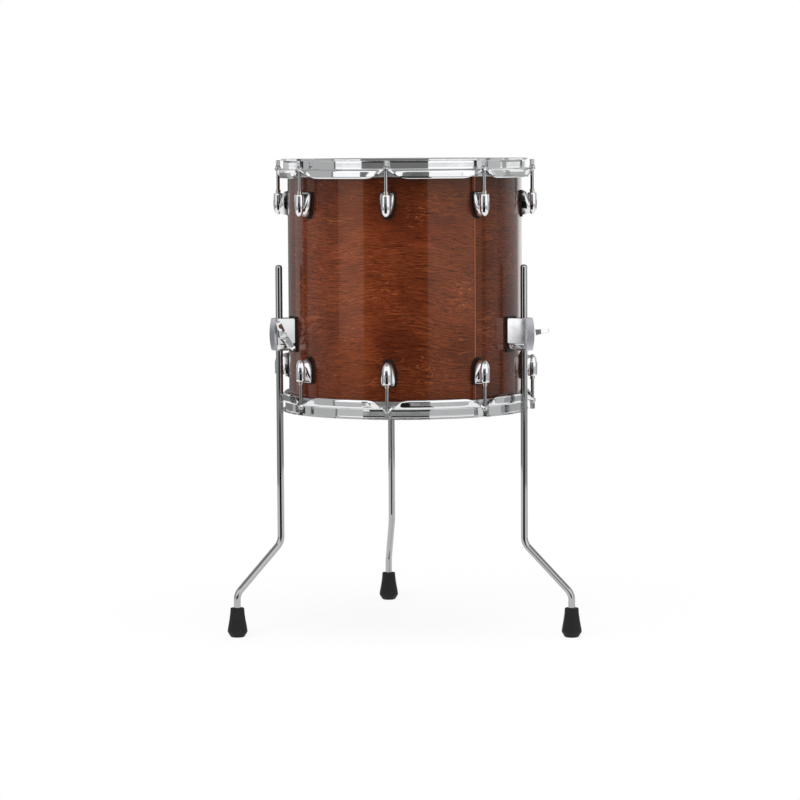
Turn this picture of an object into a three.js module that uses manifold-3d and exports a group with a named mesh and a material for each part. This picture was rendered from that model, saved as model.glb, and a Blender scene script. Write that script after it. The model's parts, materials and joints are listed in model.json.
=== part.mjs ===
// A 14 inch floor tom on three legs. Millimetres, +Z up, the front of the drum towards -Y.
// Azimuths are degrees round the drum's axis: 0 at the front, growing towards +X.
import * as THREE from 'three';
import { mergeVertices } from 'three/addons/utils/BufferGeometryUtils.js';
import Module from 'manifold-3d';

const wasm = await Module();
wasm.setup();

// Driving dimensions that every piece shares
const CLEARANCE = 0.3;
const OVERRUN = 5;
const ROUND_SIDES = 48;
const LUG_COUNT = 8;
const LUG_AZIMUTH = -8;
const DRUM_LIFT = 334.6;

// Shell: ply tube with a bearing edge cut on both ends
const SHELL_DIAMETER = 355.6;
const SHELL_DEPTH = 355.6;
const SHELL_WALL = 6;
const EDGE_ROUNDOVER = 1.5;

// Heads: film stretched over the bearing edge, with a collar crimped in a flesh hoop
const FILM_THICKNESS = 0.35;
const COLLAR_DROP = 3.9;
const FLESH_HOOP_GAP = 1.3;
const FLESH_HOOP_WIDTH = 5.5;
const FLESH_HOOP_HEIGHT = 9;

// Drum hoop: rim turned out at the top, wall, then eight ears with a skirt between them
const HOOP_STEEL = 2.3;
const HOOP_LAP = 3.1;
const RIM_RISE = 13.4;
const RIM_FLANGE = 3.8;
const SKIRT_REACH = 6.2;
const SKIRT_DROP = 13.9;
const SKIRT_TUCK = 0.6;
const EAR_MARGIN = 5;

// Tension rod: 12-24 screw with a flanged square head and a washer
const ROD_OFFSET = 17.3;
const ROD_DIAMETER = 5.3;
const ROD_HOLE_GAP = 0.5;
const ROD_REACH = 17.5;
const ROD_SIDES = 8;
const WASHER_RADIUS = 5;
const WASHER_THICKNESS = 1.3;
const ROD_FLANGE_RADIUS = 4.2;
const ROD_FLANGE_HEIGHT = 3;
const ROD_SQUARE = 5.5;
const ROD_HEAD_HEIGHT = 9.3;

// Lug: bullet barrel lying in a wedge cradle, on a rubber gasket, with a swivel nut in it
const LUG_INSET = 36.2;
const LUG_LENGTH = 36.3;
const LUG_WIDTH = 21.8;
const LUG_LIP = 4;
const BARREL_RADIUS = 8.2;
const BARREL_STEP = 2.7;
const NUT_COLLAR_RADIUS = 3.8;
const NUT_COLLAR_RISE = 5.2;
const NUT_SEAT = 4;
const GASKET_THICKNESS = 2.3;
const GASKET_MARGIN = 2.3;

// Screws from inside the shell into lugs and brackets
const SCREW_RADIUS = 2.2;
const SCREW_SIDES = 6;
const SCREW_HEAD_RADIUS = 4.6;
const SCREW_HEAD_HEIGHT = 3;
const SCREW_BITE = 1.5;

// Vent: rolled metal eyelet at the back
const VENT_AZIMUTH = 149.5;
const VENT_BORE = 5;
const VENT_WALL = 1.3;
const VENT_FLANGE_RADIUS = 9.4;
const VENT_FLANGE_THICKNESS = 1.2;
const VENT_SIDES = 12;

// Leg: steel rod, bent outward and then straight down, with a rubber foot
const LEG_DIAMETER = 10.5;
const LEG_SIDES = 10;
const LEG_STANDOUT = 80;
const LEG_KICK = 74;
const LEG_LOWER_BEND = 65;
const LEG_BEND_TANGENT = 9;
const LEG_BEND_STEPS = 4;
const LEG_TOP_DOME = 4;
const FOOT_HEIGHT = 44;
const FOOT_RADIUS = 15.4;
const FOOT_TOP_RADIUS = 10.5;
const FOOT_SOLE_RADIUS = 11;
const FOOT_SOLE_THICKNESS = 8;
const FOOT_SIDES = 12;

// Leg bracket: block with a leg bore and a slot for the eyebolt, closed by a bulged front cap
const BRACKET_ABOVE_SHELL_END = 106;
const BRACKET_HEIGHT = 49;
const BRACKET_BACK_WALL = 12.2;
const BRACKET_SIDE_WALL = 3.2;
const BRACKET_FRONT_WALL = 1.2;
const BRACKET_LIP_HEIGHT = 9.4;
const BRACKET_LIP_INSET = 1.6;
const BRACKET_GROOVE = 1.4;
const BRACKET_CHAMFER = 1.5;
const BRACKET_GASKET_MARGIN = 2.1;
const BRACKET_SCREW_SPACING = 32;
const CAP_END_THICKNESS = 2;
const CAP_BULGE = 3;
const CAP_ARC_STEPS = 6;

// Eyebolt and wing nut: the nut pulls the eye, and the eye pulls the leg against its bore
const EYE_WALL = 2.6;
const EYE_THICKNESS = 8;
const THREAD_RADIUS = 3.9;
const THREAD_PITCH = 1.25;
const WING_TURNS = 2;
const EYE_ARC_STEPS = 3;
const HUB_RADIUS = 6.6;
const HUB_TOP_RADIUS = 5;
const HUB_LENGTH = 9;
const THREAD_STANDOUT = 2.5;
const WING_SHELL_GAP = 1;
const WING_TIP_RISE = 23;
const WING_TIP_HEIGHT = 4;
const WING_ROOT_THICKNESS = 9;
const WING_TIP_THICKNESS = 3.6;

// Where each leg stands, which way it kicks out, and how its wing nut is left turned
const LEGS = [
  { side: 'left', azimuth: -70.8, kick: -62, wing: 30 },
  { side: 'right', azimuth: 62.4, kick: 70.5, wing: 80 },
  { side: 'rear', azimuth: 186.5, kick: 184.7, wing: -25 },
];

// Sizes that follow from the driving dimensions
const shellRadius = SHELL_DIAMETER / 2;
const shellInner = shellRadius - SHELL_WALL;
const shellBottom = DRUM_LIFT + RIM_RISE;
const shellTop = shellBottom + SHELL_DEPTH;
const lugStep = 360 / LUG_COUNT;
const rodCircle = shellRadius + ROD_OFFSET;
const rodRadius = ROD_DIAMETER / 2;
const fleshInner = shellRadius + FLESH_HOOP_GAP;
const fleshOuter = fleshInner + FLESH_HOOP_WIDTH;
const hoopInner = fleshOuter - HOOP_LAP;
const hoopOuter = hoopInner + HOOP_STEEL;
const stepUnder = -COLLAR_DROP + CLEARANCE;
const earTop = stepUnder + HOOP_STEEL;
const gasketBack = shellRadius + CLEARANCE;
const gasketFront = gasketBack + GASKET_THICKNESS;
const legRadius = LEG_DIAMETER / 2;
const eyeInner = legRadius + CLEARANCE;
const eyeOuter = eyeInner + EYE_WALL;
const eyeTravel = WING_TURNS * THREAD_PITCH;
const legCircle = gasketFront + BRACKET_BACK_WALL + eyeOuter;
const slotHalf = eyeOuter + eyeTravel + CLEARANCE;
const bracketHalf = slotHalf + BRACKET_SIDE_WALL;
const bracketFront = legCircle + eyeInner + BRACKET_FRONT_WALL;
const bracketCentre = shellBottom + BRACKET_ABOVE_SHELL_END;
const capBack = bracketFront + CLEARANCE;
const hubBase = bracketHalf + CLEARANCE;
const threadEnd = hubBase + HUB_LENGTH + THREAD_STANDOUT;
const wingTip = hubBase + WING_TIP_RISE;
const shellAtWing = Math.sqrt(shellRadius ** 2 - (wingTip - WING_TIP_HEIGHT) ** 2);
const wingHalfSpan = legCircle - shellAtWing - WING_SHELL_GAP;

// Outlines as shares of the piece they belong to: [half width, length] and [depth, length]
const lugFrontShares = [[0.83, 0], [1, 0.15], [1, 0.42], [0.72, 0.78], [0.28, 1]];
const cradleShares = [[1, 0.64], [0.96, 0.86], [0.62, 0.96]];
const barrelShares = [[0.84, 0], [1, 0.36], [0.9, 0.7], [0.5, 0.93]];
const footShares = [[1, 0.08], [1, 0.16], [0.72, 0.8]];
// Half of the hoop's pitch between two ears, from the ear's flat to the middle of the skirt
const hoopStationShares = [0.11, 0.25, 0.4, 0.7];

const radians = THREE.MathUtils.degToRad;

// Materials
const finish = (color, roughness, metalness) => () => (
  new THREE.MeshStandardMaterial({ color, roughness, metalness })
);
const lacqueredWood = finish(0x5a2418, 0.25, 0);
const chrome = finish(0xd8dadc, 0.12, 1);
const castChrome = finish(0xc9cbce, 0.18, 1);
const blackRubber = finish(0x17181a, 0.85, 0);
const aluminium = finish(0xb4b8bb, 0.4, 1);
const coatedFilm = finish(0xf1f0ea, 0.9, 0);
const clearFilm = finish(0xdfe3e4, 0.3, 0);

// Solids: a closed geometry to a manifold solid, and back
function solid(geometry) {
  const bare = geometry.clone();
  bare.deleteAttribute('normal');
  bare.deleteAttribute('uv');
  const merged = mergeVertices(bare);
  const corners = merged.index.array;
  const triVerts = [];
  for (let i = 0; i < corners.length; i += 3) {
    const [a, b, c] = corners.slice(i, i + 3);
    if (a !== b && b !== c && c !== a) triVerts.push(a, b, c);
  }
  return new wasm.Manifold(new wasm.Mesh({
    numProp: 3,
    vertProperties: new Float32Array(merged.getAttribute('position').array),
    triVerts: new Uint32Array(triVerts),
  }));
}

function geometryOf(made) {
  const mesh = made.getMesh();
  const geometry = new THREE.BufferGeometry();
  geometry.setAttribute('position', new THREE.BufferAttribute(mesh.vertProperties, 3));
  geometry.setIndex(new THREE.BufferAttribute(mesh.triVerts, 1));
  geometry.computeVertexNormals();
  return geometry;
}

const join = (solids) => solids.reduce((whole, next) => whole.add(next));

// A lathe about +Z. The profile is [radius, height] pairs, up the outside and down the inside.
function turned(profile, sides) {
  const points = profile.map(([radius, height]) => new THREE.Vector2(radius, height));
  return new THREE.LatheGeometry(points, sides).rotateX(Math.PI / 2);
}

const ring = (profile, sides) => turned([...profile, profile[0]], sides);

// A cylinder along +Z whose flats, not its corners, lie at the radius: a bore's cutter
function boreCutter(radius, low, high, sides) {
  const corner = radius / Math.cos(Math.PI / sides);
  return turned([[0, low], [corner, low], [corner, high], [0, high]], sides);
}

const alongX = (geometry) => geometry.rotateY(Math.PI / 2);
const alongY = (geometry) => geometry.rotateX(-Math.PI / 2);

// A flat outline given depth along one axis, from low to high
function prism(outline, low, high) {
  const shape = outline.isShape ? outline : new THREE.Shape(outline.map(([u, v]) => new THREE.Vector2(u, v)));
  const depth = high - low;
  return new THREE.ExtrudeGeometry(shape, { depth, bevelEnabled: false }).translate(0, 0, low);
}

// Outline in y and z, depth along x
function prismAlongX(outline, low, high) {
  const turn = new THREE.Matrix4().makeBasis(
    new THREE.Vector3(0, 1, 0),
    new THREE.Vector3(0, 0, 1),
    new THREE.Vector3(1, 0, 0),
  );
  return prism(outline, low, high).applyMatrix4(turn);
}

// Outline in x and z, depth along y and centred on it
const prismAlongY = (outline, half) => prism(outline, -half, half).rotateX(Math.PI / 2);

const mirrored = (side) => [...side, ...side.map(([u, v]) => [-u, v]).reverse()];

function box(low, high) {
  const size = high.map((value, axis) => value - low[axis]);
  const middle = high.map((value, axis) => (value + low[axis]) / 2);
  return new THREE.BoxGeometry(...size).translate(...middle);
}

function place(parent, name, shape, material) {
  const mesh = new THREE.Mesh(shape.isBufferGeometry ? shape : geometryOf(shape), material());
  mesh.name = name;
  parent.add(mesh);
  return mesh;
}

function groupAt(parent, degrees, height = 0) {
  const group = new THREE.Group();
  group.rotation.z = radians(degrees);
  group.position.z = height;
  parent.add(group);
  return group;
}

// A station's own frame: x outward from the drum's axis, y towards growing azimuth, z up
const stationAt = (parent, azimuth, height = 0) => groupAt(parent, azimuth - 90, height);

// How far out a flat disc can sit against the inside of the faceted shell
function seatInside(reach) {
  const flat = shellInner * Math.cos(Math.PI / ROUND_SIDES);
  return Math.sqrt(flat ** 2 - reach ** 2) - CLEARANCE;
}

// Screw from inside the shell, along x, biting into what it holds
function shellScrew(height) {
  const seat = seatInside(SCREW_HEAD_RADIUS);
  const profile = [
    [0, seat - SCREW_HEAD_HEIGHT],
    [SCREW_HEAD_RADIUS, seat - SCREW_HEAD_HEIGHT],
    [SCREW_HEAD_RADIUS, seat],
    [SCREW_RADIUS, seat],
    [SCREW_RADIUS, gasketFront + SCREW_BITE],
    [0, gasketFront + SCREW_BITE],
  ];
  return solid(alongX(turned(profile, SCREW_SIDES)).translate(0, 0, height));
}

// Cuts a gasket's back to the shell's curve, facet against facet
function cutToShell(shape, low, high, azimuth) {
  const core = turned([[0, low], [gasketBack, low], [gasketBack, high], [0, high]], ROUND_SIDES);
  return shape.subtract(solid(core.rotateZ(radians(LUG_AZIMUTH - azimuth))));
}

// Shell
const lugScrewHeight = -LUG_INSET - LUG_LENGTH * 0.45;
const bracketScrewHeights = [-BRACKET_SCREW_SPACING / 2, BRACKET_SCREW_SPACING / 2];

function radialHole(azimuth, height, radius, sides) {
  const cutter = alongX(boreCutter(radius, shellInner - OVERRUN, shellRadius + OVERRUN, sides));
  return solid(cutter.translate(0, 0, height).rotateZ(radians(azimuth - LUG_AZIMUTH)));
}

function shellSolid() {
  const chamfer = SHELL_WALL - EDGE_ROUNDOVER;
  const tube = ring([
    [shellRadius, EDGE_ROUNDOVER],
    [shellRadius, SHELL_DEPTH - EDGE_ROUNDOVER],
    [shellRadius - EDGE_ROUNDOVER, SHELL_DEPTH],
    [shellInner, SHELL_DEPTH - chamfer],
    [shellInner, chamfer],
    [shellRadius - EDGE_ROUNDOVER, 0],
  ], ROUND_SIDES);
  const screwHole = SCREW_RADIUS + CLEARANCE;
  const holes = [radialHole(VENT_AZIMUTH, SHELL_DEPTH / 2, VENT_BORE + VENT_WALL + CLEARANCE, VENT_SIDES)];
  for (let i = 0; i < LUG_COUNT; i += 1) {
    const azimuth = LUG_AZIMUTH + i * lugStep;
    holes.push(radialHole(azimuth, -lugScrewHeight, screwHole, SCREW_SIDES));
    holes.push(radialHole(azimuth, SHELL_DEPTH + lugScrewHeight, screwHole, SCREW_SIDES));
  }
  for (const leg of LEGS) {
    for (const height of bracketScrewHeights) {
      holes.push(radialHole(leg.azimuth, BRACKET_ABOVE_SHELL_END + height, screwHole, SCREW_SIDES));
    }
  }
  return solid(tube).subtract(join(holes));
}

function ventGrommet() {
  const outside = shellRadius + CLEARANCE;
  const inside = seatInside(VENT_FLANGE_RADIUS);
  const tube = VENT_BORE + VENT_WALL;
  return alongX(ring([
    [VENT_BORE, inside - VENT_FLANGE_THICKNESS],
    [VENT_FLANGE_RADIUS, inside - VENT_FLANGE_THICKNESS],
    [VENT_FLANGE_RADIUS, inside],
    [tube, inside],
    [tube, outside],
    [VENT_FLANGE_RADIUS, outside],
    [tube, outside + VENT_FLANGE_THICKNESS],
    [VENT_BORE, outside + VENT_FLANGE_THICKNESS],
  ], VENT_SIDES));
}

// Head: pieces of one end have z = 0 at the shell's end, and z grows away from the shell
const filmRadius = shellRadius + CLEARANCE;
const filmTop = CLEARANCE + FILM_THICKNESS;

function headFilm() {
  return turned([[0, CLEARANCE], [filmRadius, CLEARANCE], [filmRadius, filmTop], [0, filmTop]], ROUND_SIDES);
}

// Flesh hoop with the film's turned-down collar, which is crimped in it
function fleshHoop() {
  const low = -COLLAR_DROP - FLESH_HOOP_HEIGHT;
  const collar = filmRadius + CLEARANCE;
  const crimp = fleshInner + FLESH_HOOP_WIDTH / 4;
  return ring([
    [fleshInner, low],
    [fleshOuter, low],
    [fleshOuter, -COLLAR_DROP],
    [crimp + FILM_THICKNESS, -COLLAR_DROP],
    [collar + FILM_THICKNESS, filmTop],
    [collar, CLEARANCE],
    [crimp, -COLLAR_DROP],
    [fleshInner, -COLLAR_DROP],
  ], ROUND_SIDES);
}

// Hoop: one section of points, with the outer flange lying flat at the ears
// and bending down into the skirt between them
function hoopSection(bend) {
  const skirtOuter = hoopOuter + SKIRT_REACH;
  const shoulder = skirtOuter - SKIRT_TUCK;
  const skirtLow = earTop - SKIRT_DROP;
  const earOuter = rodCircle + EAR_MARGIN;
  const earMiddle = (hoopOuter + earOuter) / 2;
  const mixed = (ear, skirt) => ear.map((value, axis) => THREE.MathUtils.lerp(value, skirt[axis], bend));
  return [
    [hoopInner, stepUnder],
    mixed([earMiddle, stepUnder], [shoulder - HOOP_STEEL, stepUnder]),
    mixed([earOuter, stepUnder], [shoulder - HOOP_STEEL, skirtLow]),
    mixed([earOuter, earTop], [shoulder, skirtLow]),
    mixed([earOuter - HOOP_STEEL, earTop], [skirtOuter, (earTop + skirtLow) / 2]),
    mixed([earMiddle, earTop], [shoulder, earTop - SKIRT_TUCK]),
    [hoopOuter, earTop],
    [hoopOuter, RIM_RISE - HOOP_STEEL],
    [hoopOuter + RIM_FLANGE, RIM_RISE - HOOP_STEEL],
    [hoopOuter + RIM_FLANGE, RIM_RISE],
    [hoopInner, RIM_RISE],
  ];
}

function hoopSolid() {
  const halfPitch = lugStep / 2;
  const offsets = [...hoopStationShares.map((share) => -share).reverse(), ...hoopStationShares, 1];
  const [flatShare, , skirtShare] = hoopStationShares;
  const stations = [];
  for (let i = 0; i < LUG_COUNT; i += 1) {
    for (const offset of offsets) {
      const bend = THREE.MathUtils.smoothstep(Math.abs(offset), flatShare, skirtShare);
      stations.push({ angle: radians(i * lugStep + offset * halfPitch), section: hoopSection(bend) });
    }
  }
  const positions = [];
  const faces = [];
  const width = stations[0].section.length;
  stations.forEach(({ angle, section }, i) => {
    section.forEach(([radius, height], j) => {
      positions.push(radius * Math.cos(angle), radius * Math.sin(angle), height);
      const here = i * width + j;
      const above = i * width + ((j + 1) % width);
      const next = (i + 1) % stations.length;
      const beside = next * width + j;
      const across = next * width + ((j + 1) % width);
      faces.push(here, beside, across, here, across, above);
    });
  });
  const band = new THREE.BufferGeometry();
  band.setAttribute('position', new THREE.BufferAttribute(new Float32Array(positions), 3));
  band.setIndex(faces);
  const hole = boreCutter(rodRadius + ROD_HOLE_GAP, stepUnder - OVERRUN, earTop + OVERRUN, ROD_SIDES);
  hole.translate(rodCircle, 0, 0);
  const holes = [];
  for (let i = 0; i < LUG_COUNT; i += 1) {
    holes.push(solid(hole.clone().rotateZ(radians(i * lugStep))));
  }
  return solid(band).subtract(join(holes));
}

// Tension rod, washer joined on, in the end's frame at its own axis
const rodTip = -LUG_INSET - BARREL_STEP - ROD_REACH;

function tensionRod() {
  const seat = earTop + CLEARANCE;
  const flange = seat + WASHER_THICKNESS;
  const square = flange + ROD_FLANGE_HEIGHT;
  const half = ROD_SQUARE / 2;
  const shank = turned([
    [0, rodTip],
    [rodRadius, rodTip],
    [rodRadius, seat],
    [WASHER_RADIUS, seat],
    [WASHER_RADIUS, flange],
    [ROD_FLANGE_RADIUS, flange],
    [half, square],
    [0, square],
  ], ROD_SIDES);
  const key = box([-half, -half, flange], [half, half, square + ROD_HEAD_HEIGHT]);
  return solid(shank).add(solid(key));
}

// Lug: casing, gasket, swivel nut and screw, in the station's frame
function lugOutline(top, length, halfWidth) {
  return mirrored(lugFrontShares.map(([width, along]) => [width * halfWidth, top - along * length]));
}

function lugSolid() {
  const top = -LUG_INSET;
  const depth = rodCircle - gasketFront;
  const half = LUG_WIDTH / 2;
  const front = prismAlongX(lugOutline(top, LUG_LENGTH, half), gasketFront, rodCircle + OVERRUN);
  const side = prismAlongY([
    [gasketFront - OVERRUN, top - LUG_LENGTH],
    [gasketFront - OVERRUN, top],
    [gasketFront + LUG_LIP, top],
    ...cradleShares.map(([out, along]) => [gasketFront + out * depth, top - along * LUG_LENGTH]),
    [gasketFront, top - LUG_LENGTH],
  ], LUG_WIDTH);
  const cradle = solid(front).intersect(solid(side));
  const barrelTop = top - BARREL_STEP;
  const barrelLength = LUG_LENGTH - BARREL_STEP;
  const outside = barrelShares.map(([radius, along]) => (
    [radius * BARREL_RADIUS, barrelTop - along * barrelLength]
  ));
  const barrel = turned([[0, top - LUG_LENGTH], ...outside.reverse(), [0, barrelTop]], ROD_SIDES);
  const collar = turned([
    [0, barrelTop - NUT_SEAT],
    [NUT_COLLAR_RADIUS, barrelTop - NUT_SEAT],
    [NUT_COLLAR_RADIUS, barrelTop + NUT_COLLAR_RISE],
    [0, barrelTop + NUT_COLLAR_RISE],
  ], ROD_SIDES);
  const bore = boreCutter(rodRadius + CLEARANCE, rodTip - CLEARANCE, top + OVERRUN, ROD_SIDES);
  const padTop = top + GASKET_MARGIN;
  const padLength = LUG_LENGTH + 2 * GASKET_MARGIN;
  const padOutline = lugOutline(padTop, padLength, half + GASKET_MARGIN);
  const pad = solid(prismAlongX(padOutline, shellRadius - OVERRUN, gasketFront));
  const casing = join([cradle, solid(barrel.translate(rodCircle, 0, 0)), solid(collar.translate(rodCircle, 0, 0))]);
  const gasket = cutToShell(pad, padTop - padLength - OVERRUN, padTop + OVERRUN, LUG_AZIMUTH);
  const held = join([casing, gasket, shellScrew(lugScrewHeight)]);
  return held.subtract(solid(bore.translate(rodCircle, 0, 0)));
}

// Bracket body with gasket and screws, in the station's frame, z = 0 at its middle
function bracketOutline() {
  const top = BRACKET_HEIGHT / 2;
  const lipTop = -top + BRACKET_LIP_HEIGHT;
  const lip = bracketHalf - BRACKET_LIP_INSET;
  return mirrored([
    [bracketHalf - BRACKET_CHAMFER, top],
    [bracketHalf, top - BRACKET_CHAMFER],
    [bracketHalf, lipTop + BRACKET_GROOVE],
    [lip - BRACKET_GROOVE, lipTop + BRACKET_GROOVE / 2],
    [lip, lipTop],
    [lip, lipTop - BRACKET_LIP_HEIGHT / 2],
    [lip - BRACKET_LIP_INSET, -top + BRACKET_CHAMFER],
    [lip - BRACKET_LIP_HEIGHT / 2, -top],
  ]);
}

function bracketBody(azimuth) {
  const top = BRACKET_HEIGHT / 2;
  const block = solid(prismAlongX(bracketOutline(), gasketFront, bracketFront));
  const padHalf = bracketHalf + BRACKET_GASKET_MARGIN;
  const padTop = top + BRACKET_GASKET_MARGIN;
  const padOutline = mirrored([
    [padHalf - GASKET_MARGIN, padTop],
    [padHalf, padTop - GASKET_MARGIN],
    [padHalf, GASKET_MARGIN - padTop],
    [padHalf - GASKET_MARGIN, -padTop],
  ]);
  const pad = solid(prismAlongX(padOutline, shellRadius - OVERRUN, gasketFront + CLEARANCE));
  const gasket = cutToShell(pad, -padTop - OVERRUN, padTop + OVERRUN, azimuth);
  const bore = boreCutter(eyeInner, -top - OVERRUN, top + OVERRUN, FOOT_SIDES);
  const slotTop = EYE_THICKNESS / 2 + CLEARANCE;
  const slotBack = legCircle - eyeOuter - CLEARANCE;
  const slot = box([slotBack, -slotHalf, -slotTop], [bracketFront + OVERRUN, slotHalf, slotTop]);
  const shankHole = boreCutter(THREAD_RADIUS + CLEARANCE, 0, bracketHalf + OVERRUN, ROD_SIDES);
  const cuts = [
    solid(bore.translate(legCircle, 0, 0)),
    solid(slot),
    solid(alongY(shankHole).translate(legCircle, 0, 0)),
  ];
  return join([block, gasket, ...bracketScrewHeights.map(shellScrew)]).subtract(join(cuts));
}

function bracketCap() {
  const top = BRACKET_HEIGHT / 2;
  const face = [];
  for (let i = 0; i <= CAP_ARC_STEPS; i += 1) {
    const along = (2 * i) / CAP_ARC_STEPS - 1;
    face.push([capBack + CAP_END_THICKNESS + CAP_BULGE * (1 - along ** 2), along * top]);
  }
  const plate = solid(prismAlongY([...face, [capBack, top], [capBack, -top]], bracketHalf));
  const room = EYE_THICKNESS / 2 + CLEARANCE;
  const eyeFront = legCircle + eyeOuter + CLEARANCE;
  const recess = box([capBack - OVERRUN, -slotHalf, -room], [eyeFront, slotHalf, room]);
  return plate.subtract(solid(recess));
}

// Eyebolt: its eye is longer than the leg is thick, so that the bolt can slide free of the leg
function eyeOutline(radius, curve) {
  curve.absarc(0, 0, radius, Math.PI, 2 * Math.PI);
  curve.absarc(0, eyeTravel, radius, 0, Math.PI);
  return curve;
}

function eyebolt() {
  const shape = eyeOutline(eyeOuter, new THREE.Shape());
  shape.holes.push(eyeOutline(eyeInner, new THREE.Path()));
  const depth = EYE_THICKNESS;
  const eye = new THREE.ExtrudeGeometry(shape, { depth, bevelEnabled: false, curveSegments: EYE_ARC_STEPS });
  const start = eyeTravel + eyeInner + EYE_WALL / 2;
  const shank = alongY(turned([
    [0, start],
    [THREAD_RADIUS, start],
    [THREAD_RADIUS, threadEnd],
    [0, threadEnd],
  ], ROD_SIDES));
  return solid(eye.translate(0, 0, -depth / 2)).add(solid(shank));
}

// Wing nut about y, wings up and down before it is turned
function wingNut() {
  const hubTop = hubBase + HUB_LENGTH;
  const hub = alongY(turned([
    [0, hubBase],
    [HUB_RADIUS, hubBase],
    [HUB_TOP_RADIUS, hubTop],
    [0, hubTop],
  ], LEG_SIDES));
  const root = WING_ROOT_THICKNESS / 2;
  const tip = WING_TIP_THICKNESS / 2;
  const fromBehind = mirrored([[tip, wingHalfSpan], [root, HUB_RADIUS], [root, -HUB_RADIUS], [tip, -wingHalfSpan]]);
  const along = prism(fromBehind, hubBase, wingTip).applyMatrix4(new THREE.Matrix4().makeBasis(
    new THREE.Vector3(-1, 0, 0),
    new THREE.Vector3(0, 0, 1),
    new THREE.Vector3(0, 1, 0),
  ));
  const wingSide = [
    [hubBase + HUB_LENGTH / 3, HUB_TOP_RADIUS],
    [wingTip - 2 * WING_TIP_HEIGHT, wingHalfSpan - WING_TIP_HEIGHT],
    [wingTip - WING_TIP_HEIGHT, wingHalfSpan],
    [wingTip - WING_TIP_HEIGHT / 4, wingHalfSpan],
    [wingTip, wingHalfSpan - WING_TIP_HEIGHT],
    [hubTop, HUB_TOP_RADIUS],
  ];
  const bothWings = [...wingSide, ...wingSide.map(([u, v]) => [u, -v]).reverse()];
  const across = prismAlongX(bothWings, -WING_ROOT_THICKNESS, WING_ROOT_THICKNESS);
  const thread = alongY(boreCutter(THREAD_RADIUS + CLEARANCE, hubBase - OVERRUN, wingTip + OVERRUN, ROD_SIDES));
  return solid(hub).add(solid(along).intersect(solid(across))).subtract(solid(thread));
}

// Leg: its centreline lies in x and z, and the stations along it are close only in the bends
class LegLine extends THREE.Curve {
  constructor(path, stations) {
    super();
    this.path = path;
    this.stations = stations;
  }

  at(u) {
    return this.stations[Math.round(u * (this.stations.length - 1))];
  }

  getPointAt(u) {
    return this.path.getPointAt(this.at(u));
  }

  getTangentAt(u) {
    return this.path.getTangentAt(this.at(u));
  }
}

const legTop = bracketCentre + BRACKET_HEIGHT / 2 + LEG_STANDOUT;
const legEnd = FOOT_SOLE_THICKNESS + CLEARANCE;

function legSolid() {
  const upperBend = LEG_LOWER_BEND + LEG_KICK;
  const slant = LEG_BEND_TANGENT * Math.SQRT1_2;
  const dome = LEG_TOP_DOME;
  const at = (x, z) => new THREE.Vector3(x, 0, z);
  const path = new THREE.CurvePath();
  path.add(new THREE.LineCurve3(at(0, legTop - dome), at(0, upperBend + LEG_BEND_TANGENT)));
  path.add(new THREE.QuadraticBezierCurve3(
    at(0, upperBend + LEG_BEND_TANGENT),
    at(0, upperBend),
    at(slant, upperBend - slant),
  ));
  path.add(new THREE.LineCurve3(at(slant, upperBend - slant), at(LEG_KICK - slant, LEG_LOWER_BEND + slant)));
  path.add(new THREE.QuadraticBezierCurve3(
    at(LEG_KICK - slant, LEG_LOWER_BEND + slant),
    at(LEG_KICK, LEG_LOWER_BEND),
    at(LEG_KICK, LEG_LOWER_BEND - LEG_BEND_TANGENT),
  ));
  path.add(new THREE.LineCurve3(at(LEG_KICK, LEG_LOWER_BEND - LEG_BEND_TANGENT), at(LEG_KICK, legEnd)));
  const lengths = path.getCurveLengths();
  const whole = path.getLength();
  const stations = [0];
  path.curves.forEach((curve, i) => {
    const from = i === 0 ? 0 : lengths[i - 1];
    const steps = curve.isLineCurve3 ? 1 : LEG_BEND_STEPS;
    for (let step = 1; step <= steps; step += 1) {
      stations.push((from + (lengths[i] - from) * (step / steps)) / whole);
    }
  });
  const section = new THREE.Shape();
  section.absarc(0, 0, legRadius, 0, 2 * Math.PI);
  const rod = new THREE.ExtrudeGeometry(section, {
    steps: stations.length - 1,
    curveSegments: LEG_SIDES / 2,
    extrudePath: new LegLine(path, stations),
  });
  const neck = legRadius - CLEARANCE;
  const crown = turned([
    [0, legTop - 2 * dome],
    [neck, legTop - 2 * dome],
    [neck, legTop - dome / 2],
    [neck / 2, legTop],
    [0, legTop],
  ], LEG_SIDES);
  return solid(rod).add(solid(crown));
}

function rubberFoot() {
  const socket = (legRadius + CLEARANCE) / Math.cos(Math.PI / FOOT_SIDES);
  const sides = footShares.map(([radius, along]) => [radius * FOOT_RADIUS, along * FOOT_HEIGHT]);
  return turned([
    [0, 0],
    [FOOT_SOLE_RADIUS, 0],
    ...sides,
    [FOOT_TOP_RADIUS, FOOT_HEIGHT],
    [socket, FOOT_HEIGHT],
    [socket, FOOT_SOLE_THICKNESS],
    [0, FOOT_SOLE_THICKNESS],
  ], FOOT_SIDES);
}

// Assembly: the drum stands on z = 0 about its own axis
const drum = new THREE.Group();

const shellFrame = stationAt(drum, LUG_AZIMUTH, shellBottom);
place(shellFrame, 'shell', shellSolid(), lacqueredWood);
place(stationAt(drum, VENT_AZIMUTH, shellBottom + SHELL_DEPTH / 2), 'vent_grommet', ventGrommet(), chrome);

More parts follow.
